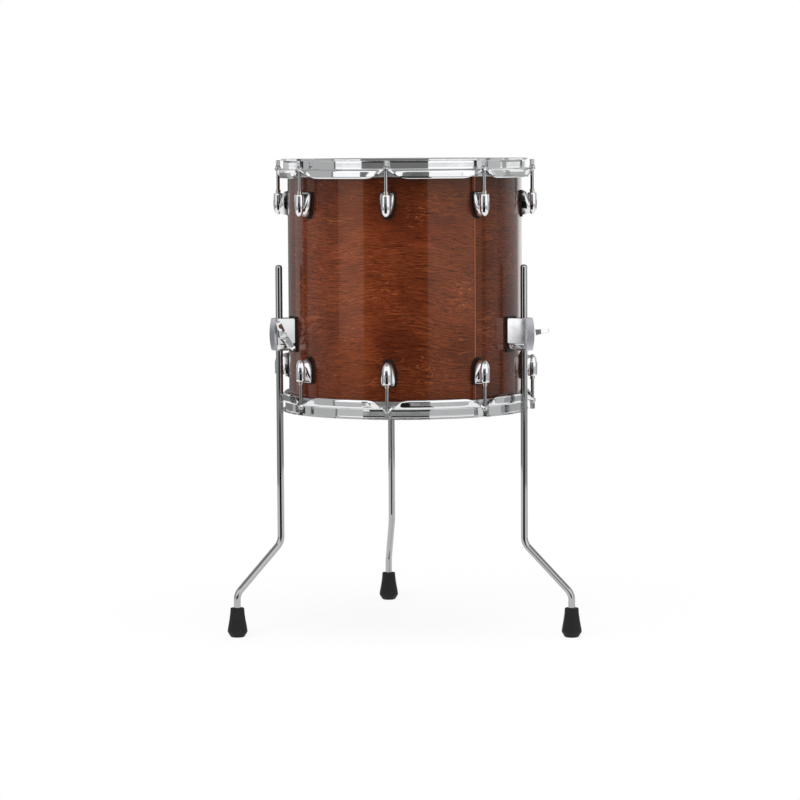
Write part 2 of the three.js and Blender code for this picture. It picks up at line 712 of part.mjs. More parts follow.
// The resonant end is the batter end turned over about its first lug's radius
function drumEnd(end, height, over, filmFinish) {
  const turnedOver = stationAt(drum, LUG_AZIMUTH, height);
  const frame = new THREE.Group();
  frame.rotation.x = over ? Math.PI : 0;
  turnedOver.add(frame);
  place(frame, `${end}_head_film`, headFilm(), filmFinish);
  place(frame, `${end}_flesh_hoop`, fleshHoop(), aluminium);
  place(frame, `${end}_hoop`, hoopSolid(), chrome);
  for (let i = 0; i < LUG_COUNT; i += 1) {
    const station = groupAt(frame, (over ? -i : i) * lugStep);
    place(station, `${end}_lug_${i + 1}`, lugSolid(), castChrome);
    place(station, `${end}_rod_${i + 1}`, tensionRod(), chrome).position.x = rodCircle;
  }
}

drumEnd('batter', shellTop, false, coatedFilm);
drumEnd('resonant', shellBottom, true, clearFilm);

for (const { side, azimuth, kick, wing } of LEGS) {
  const station = stationAt(drum, azimuth, bracketCentre);
  place(station, `${side}_bracket_body`, bracketBody(azimuth), castChrome);
  place(station, `${side}_bracket_cap`, bracketCap(), castChrome);
  place(station, `${side}_eyebolt`, eyebolt(), chrome).position.x = legCircle;
  const nut = place(station, `${side}_wing_nut`, wingNut(), castChrome);
  nut.position.x = legCircle;
  nut.rotation.y = radians(wing);
  const leg = stationAt(drum, kick);
  const around = radians(azimuth - 90);
  leg.position.set(legCircle * Math.cos(around), legCircle * Math.sin(around), 0);
  place(leg, `${side}_leg`, legSolid(), chrome);
  place(leg, `${side}_rubber_foot`, rubberFoot(), blackRubber).position.x = LEG_KICK;
}

// The part's origin is under the middle of its bounding box, on the floor
const part = new THREE.Group();
part.add(drum);
const bounds = new THREE.Box3().setFromObject(drum, true);
const middle = bounds.getCenter(new THREE.Vector3());
drum.position.set(-middle.x, -middle.y, -bounds.min.z);

export default part;
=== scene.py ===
# %% [markdown]
# # A floor tom
# A floor tom is a deep drum on three legs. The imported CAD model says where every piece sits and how
# it moves. This notebook models each piece of the real drum finely, lays it where the CAD has it, and
# gives it a finish.

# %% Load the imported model
import json
import math

import bpy
from mathutils import Matrix, Vector

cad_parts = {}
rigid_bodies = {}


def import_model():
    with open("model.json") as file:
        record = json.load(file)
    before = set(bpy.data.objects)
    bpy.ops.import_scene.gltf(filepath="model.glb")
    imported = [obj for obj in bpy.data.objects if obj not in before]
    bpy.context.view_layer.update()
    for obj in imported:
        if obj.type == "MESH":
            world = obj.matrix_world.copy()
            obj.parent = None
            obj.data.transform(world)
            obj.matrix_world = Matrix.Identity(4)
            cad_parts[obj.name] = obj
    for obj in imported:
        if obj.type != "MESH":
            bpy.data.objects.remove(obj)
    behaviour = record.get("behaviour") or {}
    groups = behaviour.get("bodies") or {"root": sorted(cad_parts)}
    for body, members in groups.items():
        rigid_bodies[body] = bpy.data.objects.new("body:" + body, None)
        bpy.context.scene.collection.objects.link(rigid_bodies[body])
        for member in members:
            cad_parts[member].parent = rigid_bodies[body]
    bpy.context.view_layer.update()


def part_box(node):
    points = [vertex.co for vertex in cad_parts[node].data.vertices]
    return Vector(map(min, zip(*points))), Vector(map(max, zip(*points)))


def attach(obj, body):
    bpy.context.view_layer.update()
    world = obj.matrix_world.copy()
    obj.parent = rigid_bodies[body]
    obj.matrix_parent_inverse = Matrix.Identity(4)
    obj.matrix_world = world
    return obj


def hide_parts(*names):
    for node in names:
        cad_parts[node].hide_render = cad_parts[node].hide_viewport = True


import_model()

# %% [markdown]
# ## Where the drum stands
# The drum is built round an upright axis that doesn't pass through the middle of the whole object,
# because the legs reach further forward than back. The shell's box gives the axis and both of the
# shell's ends, so nothing has to be typed twice. Lengths below are in millimetres, and MM turns them
# into the metres that Blender works in.

# %% Axis and ends
MM = 0.001
shell_low, shell_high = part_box("shell")
AXIS = Vector(((shell_low.x + shell_high.x) / 2, (shell_low.y + shell_high.y) / 2, 0))
SHELL_BOTTOM, SHELL_TOP = shell_low.z / MM, shell_high.z / MM
LUG_COUNT, LUG_AZIMUTH, LUG_PITCH = 8, -8, 45
ROD_CIRCLE = 195.1
GASKET_FRONT = 180.4


def station(azimuth, height=0):
    """A station's own frame: x outward from the drum's axis, y towards growing azimuth, z up."""
    around = Matrix.Rotation(math.radians(azimuth - 90), 4, "Z")
    return Matrix.Translation(AXIS + Vector((0, 0, height * MM))) @ around


print("axis", tuple(round(c, 6) for c in AXIS), "shell", round(SHELL_BOTTOM, 2), round(SHELL_TOP, 2))

# %% [markdown]
# ## The camera
# The photograph was taken from straight ahead, a little above the rim, and slightly rolled. The
# camera's place and lens were worked out from the rim, the rods and the feet. A long lens far away
# keeps the legs parallel, as in a catalogue picture.

# %% Camera
FOCAL_PIXELS, FRAME_PIXELS, SENSOR_WIDTH = 3041.6, 800, 36
CAMERA_FROM_AXIS = Vector((-0.00002, -4.63975, 0.73844))
pan, pitch, roll = (math.radians(angle) for angle in (-0.104, 4.806, 0.31))
ahead = Vector((math.cos(pitch) * math.sin(pan), math.cos(pitch) * math.cos(pan), -math.sin(pitch)))
level_right = Vector((math.cos(pan), -math.sin(pan), 0))
level_up = level_right.cross(ahead)
right = math.cos(roll) * level_right - math.sin(roll) * level_up
up = math.sin(roll) * level_right + math.cos(roll) * level_up

bpy.ops.object.camera_add()
camera = bpy.context.active_object
camera.name = "camera"
camera.data.sensor_width = SENSOR_WIDTH
camera.data.lens = FOCAL_PIXELS / FRAME_PIXELS * SENSOR_WIDTH
camera.data.clip_end = 100
facing = Matrix((right, up, -ahead)).transposed().to_4x4()
camera.matrix_world = Matrix.Translation(AXIS + CAMERA_FROM_AXIS) @ facing
bpy.context.scene.camera = camera
bpy.context.scene.view_settings.view_transform = "Standard"
print("lens", round(camera.data.lens, 2), "mm")

# %% [markdown]
# ## Writing shaders as sums
# A finish is a net of nodes. Written node by node it is hard to read, so one small class holds what
# leaves a node, and plain + - * on it adds the Math nodes. Every other node comes from one method,
# which takes the node's kind, the values or links of its sockets, and its settings.


# %% Shader helpers
class Flow:
    """A number, colour or direction that leaves a shader node."""

    def __init__(self, net, socket):
        self.net, self.socket = net, socket

    def maths(self, operation, *others):
        """A Math node that takes this flow first."""
        return self.net.node("Math", dict(enumerate((self, *others))), operation=operation)

    def __add__(self, other):
        return self.maths("ADD", other)

    def __sub__(self, other):
        return self.maths("SUBTRACT", other)

    def __rsub__(self, other):
        return self.net.node("Math", {0: other, 1: self}, operation="SUBTRACT")

    def __mul__(self, other):
        return self.maths("MULTIPLY", other)

    def out(self, name):
        """Another output of the same node."""
        return Flow(self.net, self.socket.node.outputs[name])


class Net:
    """The node tree of a finish, a light or the world."""

    def __init__(self, tree):
        self.tree = tree
        tree.nodes.clear()

    def node(self, kind, sockets=None, out=0, **settings):
        """Adds a node, and links or sets its sockets."""
        made = self.tree.nodes.new("ShaderNode" + kind)
        for key, value in settings.items():
            setattr(made, key, value)
        for key, value in (sockets or {}).items():
            if isinstance(value, Flow):
                self.tree.links.new(value.socket, made.inputs[key])
            else:
                made.inputs[key].default_value = value
        return Flow(self, made.outputs[out]) if made.outputs else None

    def mixed(self, factor, first, second):
        """Two colours mixed by a factor."""
        return self.node("Mix", {0: factor, 6: first, 7: second}, 2, data_type="RGBA")

    def ramp(self, value, low, high, first=0, second=1):
        """Runs smoothly from first to second as the value goes from low to high."""
        sockets = dict(enumerate((value, low, high, first, second)))
        return self.node("MapRange", sockets, interpolation_type="SMOOTHSTEP")

    def noise(self, place, scale, detail=2, roughness=0.5):
        sockets = {"Vector": place, "Scale": scale, "Detail": detail, "Roughness": roughness}
        return self.node("TexNoise", sockets)

    def figure(self, along, across, seed, detail=2, roughness=0.5):
        """Noise over a sheet whose two coordinates are already scaled; the seed picks the pattern."""
        place = self.node("CombineXYZ", {0: along, 1: across, 2: seed})
        return self.noise(place, 1, detail, roughness)

    def bump(self, height, distance, strength=1):
        return self.node("Bump", {"Height": height, "Distance": distance, "Strength": strength})

    def place(self):
        """Object coordinates, in metres."""
        return self.node("TexCoord").out("Object")

    def from_axis(self):
        """Object coordinates, counted from the drum's axis."""
        return self.node("VectorMath", {0: self.place(), 1: AXIS}, operation="SUBTRACT")

    def parts(self, vector):
        """A vector's x, y and z."""
        split = self.node("SeparateXYZ", {0: vector})
        return split.out("X"), split.out("Y"), split.out("Z")

    def seen(self):
        """1 for rays that end in the camera, a mirror or glass, and 0 for those that light things."""
        path = self.node("LightPath")
        rays = path.out("Is Camera Ray") + path.out("Is Glossy Ray") + path.out("Is Transmission Ray")
        return self.ramp(rays, 0, 1)


def colour(red, green, blue):
    """A screen colour, 0 to 255, as the linear colour that nodes take."""
    shares = (red / 255, green / 255, blue / 255)
    return (*[((c + 0.055) / 1.055) ** 2.4 if c > 0.04 else c / 12.92 for c in shares], 1)


finishes = {}


def new_finish(name):
    """An empty material with its net of nodes."""
    finishes[name] = bpy.data.materials.new(name)
    finishes[name].use_nodes = True
    return Net(finishes[name].node_tree)


def surface(net, tint, roughness, relief, **more):
    """The one shader of a finish, and the material's output."""
    sockets = {"Base Color": tint, "Roughness": roughness, **more}
    if relief:
        sockets["Normal"] = relief
    net.node("OutputMaterial", {"Surface": net.node("BsdfPrincipled", sockets)})


print("world grey 128 is", round(colour(128, 128, 128)[0], 3))

# %% [markdown]
# ## Drawing with operators
# Most pieces are turned or pressed, so two moves make them. A single vertex is pulled from point to
# point, as with the E key, until it has drawn a section. Then the section is spun round an axis, or
# filled and extruded. What follows are short names for those moves and for the usual modifiers.


# %% Modelling helpers
def only(piece):
    """Selects this piece alone and makes it active, as a click does."""
    bpy.ops.object.select_all(action="DESELECT")
    piece.select_set(True)
    bpy.context.view_layer.objects.active = piece
    return piece


def mode(name):
    """Goes into edit mode or back to object mode, as the Tab key does."""
    bpy.ops.object.mode_set(mode=name)


def added(name):
    """Names the object that an operator has just added."""
    piece = bpy.context.active_object
    piece.name = name
    return piece


def drawn(name, points):
    """Pulls one vertex from point to point, and stays in edit mode with all of it selected."""
    bpy.ops.mesh.primitive_plane_add(size=MM)
    piece = added(name)
    mode("EDIT")
    bpy.ops.mesh.select_all(action="SELECT")
    bpy.ops.mesh.merge(type="CENTER")
    here = Vector((0, 0, 0))
    for step, point in enumerate(points):
        there = Vector(point) * MM
        if step == 0:
            bpy.ops.transform.translate(value=there)
        else:
            bpy.ops.mesh.extrude_region_move(TRANSFORM_OT_translate={"value": there - here})
        here = there
    bpy.ops.mesh.select_all(action="SELECT")
    return piece


def closed_up():
    """Merges what meets and turns all faces outward, then leaves edit mode."""
    bpy.ops.mesh.select_all(action="SELECT")
    bpy.ops.mesh.remove_doubles(threshold=1e-6)
    bpy.ops.mesh.normals_make_consistent(inside=False)
    mode("OBJECT")


def spun(name, profile, sides=64, ring=False):
    """A turned piece about +Z. The profile is (radius, height) pairs; a ring's profile is closed."""
    if ring:
        profile = [*profile, profile[0]]
    piece = drawn(name, [(radius, 0, height) for radius, height in profile])
    bpy.ops.mesh.spin(steps=sides, angle=2 * math.pi, center=(0, 0, 0), axis=(0, 0, 1))
    closed_up()
    return piece


def lifted(section, base):
    """A section of (radius, height) pairs whose heights are counted from this base."""
    return [(radius, base + height) for radius, height in section]


def block(name, outline, depth):
    """A flat outline filled and extruded by the vector depth."""
    piece = drawn(name, [*outline, outline[0]])
    bpy.ops.mesh.remove_doubles(threshold=1e-6)
    bpy.ops.mesh.edge_face_add()
    bpy.ops.mesh.extrude_region_move(TRANSFORM_OT_translate={"value": Vector(depth) * MM})
    closed_up()
    return piece


def cuboid(name, low, high):
    """A cube primitive at its size and place, ready for shaping."""
    low, high = Vector(low) * MM, Vector(high) * MM
    bpy.ops.mesh.primitive_cube_add(size=1, location=(low + high) / 2)
    piece = added(name)
    piece.scale = high - low
    bpy.ops.object.transform_apply()
    return piece


def bar(radius, depth, sides=32):
    """An upright cylinder round the origin, to bore with."""
    bpy.ops.mesh.primitive_cylinder_add(vertices=sides, radius=radius * MM, depth=depth * MM)
    return added("bar")


def formed(name, columns, rows, place):
    """A flat grid led to place(column, row), left in edit mode with all of it selected."""
    bpy.ops.mesh.primitive_grid_add(x_subdivisions=columns - 1, y_subdivisions=rows - 1, size=1)
    piece = added(name)
    for vertex in piece.data.vertices:
        column = round((vertex.co.x + 0.5) * (columns - 1))
        row = round((vertex.co.y + 0.5) * (rows - 1))
        vertex.co = Vector(place(column, row)) * MM
    only(piece)
    mode("EDIT")
    bpy.ops.mesh.select_all(action="SELECT")
    return piece


def modified(piece, kind, **settings):
    """Adds a modifier and applies it."""
    only(piece)
    modifier = piece.modifiers.new(kind, kind)
    for key, value in settings.items():
        setattr(modifier, key, value)
    bpy.ops.object.modifier_apply(modifier=modifier.name)
    return piece


def bevelled(piece, width, segments=2, angle=35):
    """Rounds every edge that is sharper than the angle."""
    return modified(
        piece, "BEVEL", width=width * MM, segments=segments, limit_method="ANGLE",
        angle_limit=math.radians(angle), use_clamp_overlap=True,
    )


def combined(piece, other, operation="DIFFERENCE"):
    """A boolean with another piece, which is used up."""
    modified(piece, "BOOLEAN", operation=operation, object=other, solver="EXACT")
    bpy.data.objects.remove(other)
    return piece


def joined(name, pieces):
    """Several loose pieces as one object."""
    only(pieces[0])
    for piece in pieces[1:]:
        piece.select_set(True)
    bpy.ops.object.join()
    pieces[0].name = name
    return pieces[0]


def smooth(piece, angle=35):
    """Shades smooth below the angle; large faces keep their own normals, so mirrors stay flat."""
    only(piece)
    bpy.ops.object.shade_smooth_by_angle(angle=math.radians(angle))
    return modified(piece, "WEIGHTED_NORMAL", keep_sharp=True, weight=60)


def laid(piece, place):
    """Moves and turns a piece by a matrix, and keeps that in its mesh."""
    only(piece)
    piece.matrix_world = place
    bpy.ops.object.transform_apply()
    return piece


def turned(piece, axis, degrees):
    return laid(piece, Matrix.Rotation(math.radians(degrees), 4, axis))


def moved(piece, x=0, y=0, z=0):
    return laid(piece, Matrix.Translation(Vector((x, y, z)) * MM))


def softened(points, radius, steps):
    """Rounds the corners of a closed outline."""
    made = []
    for i, point in enumerate(points):
        here = Vector(point)
        before, after = Vector(points[i - 1]) - here, Vector(points[(i + 1) % len(points)]) - here
        half = before.angle(after) / 2
        reach = min(radius / math.tan(half), before.length / 2, after.length / 2)
        first, last = here + before.normalized() * reach, here + after.normalized() * reach
        for step in range(steps + 1):
            t = step / steps
            made.append(tuple((1 - t) ** 2 * first + 2 * t * (1 - t) * here + t**2 * last))
    return made


def fit(model, name, place, body, slot, node, finish=""):
    """Lays a copy of a model, with its own mesh. Its finish is its slot's, its own or another."""
    piece = model.copy()
    piece.data = model.data.copy()
    piece.name = name
    bpy.context.scene.collection.objects.link(piece)
    laid(piece, place)
    if finish != "its own":
        piece.data.materials.clear()
        piece.data.materials.append(finishes[finish or slot])
    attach(piece, body)
    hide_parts(node)


print("helpers ready")

# %% [markdown]
# ## The studio
# Chrome and lacquer show the room, not themselves. The photograph was lit in a white room with a
# grey card in front of the drum, two tall softboxes beside the card, and darker gaps between them.
# The cards and softboxes are curved sheets that only reflections see, and a dark ceiling closes the
# room. The world is white where the camera looks, and a little dimmer where it lights the drum.

# %% World
WHITE = (1, 1, 1, 1)
WORLD_LIGHT = 0.62
world = bpy.data.worlds.new("studio")
bpy.context.scene.world = world
world.use_nodes = True
sky = Net(world.node_tree)
shown = sky.node("Background", {"Color": WHITE, "Strength": 1})
lighting = sky.node("Background", {"Color": WHITE, "Strength": WORLD_LIGHT})
sky.node("OutputWorld", {"Surface": sky.node("MixShader", {0: sky.seen(), 1: lighting, 2: shown})})
print("world", world.name)

# %% Floor
FLOOR_RADIUS = 2.2
bpy.ops.mesh.primitive_circle_add(vertices=96, radius=FLOOR_RADIUS, fill_type="NGON", location=AXIS)
floor = added("floor")
net = new_finish("floor_paper")
# the paper is a little greyer round the feet, and as white as the world further out
away = net.node("VectorMath", {0: net.from_axis()}, 1, operation="LENGTH")
seen = net.seen() * net.ramp(away, 0.3, 0.8, 0.86, 1)
paper = net.node("BsdfDiffuse", {"Color": (0.9, 0.9, 0.9, 1)})
glow = net.node("Emission", {"Color": WHITE, "Strength": 1})
net.node("OutputMaterial", {"Surface": net.node("MixShader", {0: seen, 1: paper, 2: glow})})
floor.data.materials.append(finishes["floor_paper"])
print("floor", floor.dimensions.x)

# %% Cards and softboxes
# metres out to the cards, and the degrees of one flat facet
CARD_REACH, CARD_FACET = 8, 4


def swept(name, azimuth, ends, arc, steps):
    """A line between two (out, height) points, swept about the upright axis from an azimuth on."""
    turn = math.radians(azimuth)
    sheet = drawn(name, [(math.sin(turn) * out, -math.cos(turn) * out, height) for out, height in ends])
    bpy.ops.mesh.spin(steps=steps, angle=-arc, center=(0, 0, 0), axis=(0, 0, 1))
    mode("OBJECT")
    return sheet


def lit(sheet, tone, fade=None):
    """Gives a sheet a plain glow that only reflections see; a fade dims it between two heights."""
    net = new_finish(sheet.name)
    glow = {"Color": WHITE, "Strength": tone}
    if fade:
        low, high, dim = fade
        height = net.parts(net.place())[2]
        glow["Color"] = net.mixed(net.ramp(height, low, high), (dim, dim, dim, 1), WHITE)
    net.node("OutputMaterial", {"Surface": net.node("Emission", glow)})
    sheet.data.materials.append(finishes[sheet.name])
    for kind in ("camera", "diffuse", "transmission", "volume_scatter", "shadow"):
        setattr(sheet, "visible_" + kind, False)


TOP, BOTTOM, HALFWAY = 7.7, -6, 0.64
SECTORS = [
    # azimuths from and to, the height of the top, and the cards from there down: a name, the height
    # of the lower edge, a tone, and for some a fade with its two heights and its lower tone
    (-40, 22, TOP, [
        ("front_top", 6, 0.6), ("front_light", 1.7, 1.1), ("front_hoops", 0.59, 0.19),
        ("front_middle", -0.297, 0.05), ("front_skirt", -0.336, 0.6), ("front_low_hoop", -0.385, 0.22),
    ]),
    (-34, 24, -0.385, [("front_low", BOTTOM, 0.012)]),
    (-67, -40, TOP, [
        ("left_softbox_top", 0.70, 1.25), ("left_softbox_hoops", 0.637, 0.8),
        ("left_softbox", -0.15, 1.25, (-0.1, 0, 0.45)), ("left_softbox_low", -0.7, 0.55),
        ("left_softbox_foot", BOTTOM, 0.25),
    ]),
    (-69, -67, TOP, [("left_strip", BOTTOM, 0.2)]),
    (-110, -69, TOP, [("left_panel", BOTTOM, 0.48)]),
    (-118, -110, TOP, [("back_left_strip", BOTTOM, 0.02)]),
    (-136, -118, HALFWAY, [("back_left_card", BOTTOM, 0.45)]),
    (-142, -128, TOP, [("back_left_card_top", HALFWAY, 1.1)]),
    (-168, -136, HALFWAY, [("back_left_far_card", BOTTOM, 0.22)]),
    (-170, -142, TOP, [("back_left_far_card_top", HALFWAY, 0.6)]),
    (22, 70, TOP, [
        ("right_softbox_top", 0.70, 1.25), ("right_softbox_hoops", 0.637, 0.8),
        ("right_softbox", -0.25, 1.25, (-0.07, 0.13, 0.6)), ("right_softbox_low", BOTTOM, 0.52),
    ]),
    (70, 80, TOP, [("right_card", BOTTOM, 0.75)]),
    (80, 85, TOP, [("right_strip", BOTTOM, 0.2)]),
    (85, 102, TOP, [("right_panel", BOTTOM, 0.55)]),
    (102, 118, HALFWAY, [("back_right_card", BOTTOM, 0.34)]),
    (118, 148, HALFWAY, [("back_right_far_card", BOTTOM, 0.42)]),
    (105, 112, TOP, [("back_right_card_top", HALFWAY, 0.4)]),
    (114, 140, TOP, [("back_right_far_card_top", HALFWAY, 1)]),
    (142, 162, TOP, [("back_right_end_card_top", HALFWAY, 0.5)]),
    (168, 192, TOP, [("back_card", BOTTOM, 0.22)]),
]
for start, end, high, cards in SECTORS:
    arc = math.radians(end) - math.radians(start)
    steps = max(2, round(math.degrees(arc) / CARD_FACET))
    for name, low, *look in cards:
        ends = [(CARD_REACH / MM, height / MM) for height in (low, high)]
        lit(swept(name, start, ends, arc, steps), *look)
        high = low
bpy.ops.mesh.primitive_circle_add(
    vertices=64, radius=CARD_REACH, fill_type="NGON", location=(0, 0, TOP + 0.01)
)
lit(added("ceiling_card"), 0.35)
lit(swept("floor_card", -36, [(950, 2), (2300, 2)], math.radians(60), 14), 0.012)
print("sectors", len(SECTORS))

# %% Lamps
DRUM_MIDDLE = AXIS + Vector((0, 0, 0.5))


def lamp(name, place, size, watts):
    """A soft square lamp that looks at the drum and isn't itself reflected."""
    bpy.ops.object.light_add(type="AREA", location=place)
    light = added(name)
    light.data.size, light.data.energy = size, watts
    light.rotation_mode = "QUATERNION"
    light.rotation_quaternion = (DRUM_MIDDLE - Vector(place)).to_track_quat("-Z", "Y")
    light.visible_glossy = False


lamp("key", (-1.8, -3.2, 2), 1.6, 70)
lamp("top", (0.3, -0.6, 3.2), 2, 40)
print("lamps 2")

# %% [markdown]
# ## Finishes
# Chrome is a mirror with a slight blue-grey tint; what makes it look real is the room. Cast chrome is
# plated over a casting, so it keeps a very faint wave, and its back, close to the shell, has painted
# shade in its colour. Rubber, aluminium, the white coated film and the clear film each have a fine
# grain of their own.


# %% Metal finishes
def plated(net, tint, smudges, clean, smudged, waves, depth):
    """Chrome or nickel: a mirror with faint smudges, and a faint wave left in its face."""
    here = net.place()
    roughness = net.ramp(net.noise(here, smudges, 3, 0.6), 0.35, 0.75, clean, smudged)
    surface(net, tint, roughness, net.bump(net.noise(here, waves, 1), depth), Metallic=1)


PLATED = [
    # tint, scale of the smudges, roughness between them and on them, scale and depth of the waves
    ("chrome", (0.80, 0.805, 0.815, 1), 60, 0.035, 0.075, 25, 0.00006),
    ("drawn_chrome", (0.44, 0.443, 0.45, 1), 60, 0.05, 0.1, 40, 0.00008),
    ("nickel", (0.66, 0.62, 0.53, 1), 120, 0.12, 0.22, 80, 0.00004),
]
for name, *look in PLATED:
    plated(new_finish(name), *look)

# painted shade: the casting's colour darkens towards its back, close to the shell, where it would lie in
# shade and mirror only the dark gasket and wood
net = new_finish("cast_chrome")
across, out, _ = net.parts(net.from_axis())
radius = (across * across + out * out).maths("SQRT")
tint = net.mixed(net.ramp(radius, 0.1808, 0.188), (0.13, 0.12, 0.12, 1), (0.80, 0.805, 0.82, 1))
plated(net, tint, 90, 0.05, 0.1, 110, 0.00003)

net = new_finish("satin_cap")
here = net.place()
roughness = net.ramp(net.noise(here, 700, 3, 0.7), 0.3, 0.7, 0.24, 0.36)
surface(net, (0.52, 0.52, 0.56, 1), roughness, net.bump(net.noise(here, 1500), 0.00003), Metallic=1)

net = new_finish("zinc_screw")
here = net.place()
tint = net.mixed(net.noise(here, 300, 3), (0.46, 0.47, 0.49, 1), (0.62, 0.62, 0.62, 1))
surface(net, tint, 0.34, net.bump(net.noise(here, 900), 0.00003), Metallic=1)

net = new_finish("aluminium")
drawing = net.figure(0, 0, net.parts(net.place())[2] * 2400, 2, 0.7)
tint = net.mixed(drawing, (0.55, 0.56, 0.57, 1), (0.72, 0.73, 0.74, 1))
roughness = net.ramp(drawing, 0.3, 0.7, 0.28, 0.42)
surface(net, tint, roughness, net.bump(drawing, 0.00004), Metallic=1)
print("metals", sorted(finishes)[-5:])

# %% Rubber and film finishes
net = new_finish("black_rubber")
here = net.place()
dust = net.noise(here, 35, 4, 0.6)
tint = net.mixed(net.ramp(dust, 0.4, 0.8), colour(15, 15, 15), colour(27, 26, 25))
fine = net.bump(net.noise(here, 1800, 3, 0.7), 0.00006)
surface(net, tint, net.ramp(dust, 0.3, 0.7, 0.5, 0.7), fine, **{"Specular IOR Level": 0.3})

net = new_finish("coated_film")
here = net.place()
speck = net.noise(here, 2600, 3, 0.75)
cloud = net.ramp(net.noise(here, 14, 3, 0.6), 0.35, 0.7)
tint = net.mixed(cloud, colour(240, 239, 233), colour(231, 230, 223))
surface(net, tint, net.ramp(speck, 0.3, 0.7, 0.55, 0.8), net.bump(speck, 0.00009))

net = new_finish("clear_film")
haze = net.noise(net.place(), 9, 3, 0.6)
roughness, alpha = net.ramp(haze, 0.3, 0.7, 0.06, 0.12), net.ramp(haze, 0.3, 0.7, 0.2, 0.26)
surface(net, colour(226, 232, 233), roughness, None, Alpha=alpha)
print("soft finishes", len(finishes))

# %% [markdown]
# ## The lacquered veneer
# The shell is wrapped in one sheet of stained wood whose grain runs round the drum, and both ends of
# the sheet meet in a thin pale seam. So the pattern is drawn on the unrolled sheet: one coordinate
# is the length round the shell from the seam, the other is the height. Streaks are noise stretched
# along the first one and bent by a slow wave. Over them come dark pores, pale lines where the grain
# folds, and parts of the sheet that took more or less stain. A painted shadow darkens the colour
# under the top hoop. A clear coat gives the gloss.

# %% Veneer finish
SHELL_RADIUS = 177.8
SEAM_AZIMUTH = 35.7
DEEP_BROWN, PALE_ORANGE = colour(34, 12, 8), colour(172, 96, 54)


def hairline(net, field, width, strength):
    """A thin line wherever a noise passes its middle value."""
    return net.ramp((field - 0.5).maths("ABSOLUTE"), 0, width, strength, 0)


net = new_finish("lacquered_veneer")
turn = math.radians(90 - SEAM_AZIMUTH - 180)
sheet = net.node("Mapping", {"Vector": net.from_axis(), "Rotation": (0, 0, turn)})
across, out, height = net.parts(sheet)
around = out.maths("ARCTAN2", across) * (SHELL_RADIUS * MM)

slow = net.figure(around * 5.5, height * 7, 0, 2, 0.45)
quick = net.figure(around * 26, height * 40, 3)
bent = (height + (slow - 0.5) * 0.06) + (quick - 0.5) * 0.002
bent = bent + around * 0.05

streak = net.figure(around * 22, bent * 820, 0, 4, 0.75)
thread = net.figure(around * 80, bent * 1500, 7, 2, 0.7)
broad = net.figure(around * 9, bent * 150, 2, 3, 0.6)
cloud = net.figure(around * 11, height * 15, 5)
blush = net.figure(around * 9, height * 22, 13)

light = net.mixed(net.ramp(blush, 0.4, 0.7, 0, 0.5), colour(129, 63, 34), colour(124, 50, 27))
grain = net.ramp(streak * 0.55 + thread * 0.45, 0.43, 0.57)
pale = net.ramp(around, 0.325, 0.375) * net.ramp(around, 0.378, 0.41, 1, 0)
deep = net.ramp(around, 0.4, 0.455) * net.ramp(around, 0.455, 0.51, 1, 0)
pore = net.figure(around * 8, bent * 190, 31)
fold = net.figure(around * 19, bent * 75, 11, 3, 0.6)
patch = net.ramp(net.figure(around * 14, height * 16, 21, 1), 0.54, 0.66)
vein = net.figure(around * 3.5, bent * 42, 41)
edge = (math.pi * SHELL_RADIUS * MM) - around.maths("ABSOLUTE")

tone = net.mixed(grain, colour(44, 15, 9), light)
for share, stain in [
    # broad bands of grain, and clouds across them
    (net.ramp(broad, 0.35, 0.65, 0, 0.4), colour(108, 49, 26)),
    (net.ramp(cloud, 0.42, 0.66, 0, 0.5), colour(60, 21, 13)),
    # the sheet is paler left of the front and darker across the front and past the seam
    (pale * 0.16, colour(150, 78, 44)),
    (deep * 0.16, DEEP_BROWN),
    (net.ramp(around, -0.47, -0.4, 0.2, 0), colour(30, 14, 10)),
    # long dark pores, then thin light orange lines where the grain folds
    (hairline(net, pore, 0.01, 0.35), DEEP_BROWN),
    (hairline(net, fold, 0.011, 1) * patch * 0.55, PALE_ORANGE),
    (hairline(net, vein, 0.004, 0.4), colour(160, 90, 52)),
    # painted shadow of the top hoop: the colour is darker just under it; the colour is also a little
    # darker towards the bottom
    (net.ramp(height, 0.615, 0.695, 0, 0.6), colour(30, 11, 8)),
    (net.ramp(height, 0.36, 0.52, 0.22, 0), DEEP_BROWN),
    # the seam is a pale line between two darker edges
    (net.ramp(edge, 0.0009, 0.0035, 0.5, 0), colour(62, 22, 12)),
    (net.ramp(edge, 0.00045, 0.0009, 1, 0), PALE_ORANGE),
]:
    tone = net.mixed(share, tone, stain)
surface(net, tone, net.ramp(streak, 0.3, 0.7, 0.16, 0.24), net.bump(streak, 0.00004, 0.4), **{
    "Specular IOR Level": 0.3, "Specular Tint": (1, 0.35, 0.08, 1),
    "Coat Weight": 1, "Coat Roughness": 0.015, "Coat IOR": 1.29,
})
print("veneer nodes", len(net.tree.nodes))

# %% Raw wood finish
net = new_finish("raw_wood")
across, out, height = net.parts(net.from_axis())
around = out.maths("ARCTAN2", across) * (SHELL_RADIUS * MM)
radius = (across * across + out * out).maths("SQRT")
bent = height + net.figure(around * 6, height * 8, 4, 1) * 0.05
streak = net.figure(around * 35, bent * 700, 0, 3, 0.6)
tone = net.mixed(net.ramp(streak, 0.3, 0.7), colour(186, 146, 100), colour(214, 179, 133))
# the cut edges show a dark glue line at every millimetre of ply
ply = (radius * 1000).maths("PINGPONG", 0.5)
glue = net.ramp(ply, 0, 0.1, 1, 0) * net.ramp(radius, 0.1722, 0.1725)
tone = net.mixed(glue * 0.6, tone, colour(128, 88, 55))
surface(net, tone, net.ramp(streak, 0.3, 0.7, 0.5, 0.65), net.bump(streak, 0.00006, 0.5))
print("raw wood nodes", len(net.tree.nodes))

# %% [markdown]
# ## The shell
# The shell is a thin tube with a bearing edge cut on both ends: a slope on the inside and a small
# round on the outside, where the head rests. Its section is drawn once and spun in 192 steps, so
# that the reflections in the lacquer run straight. The vent and the screw holes are then bored.

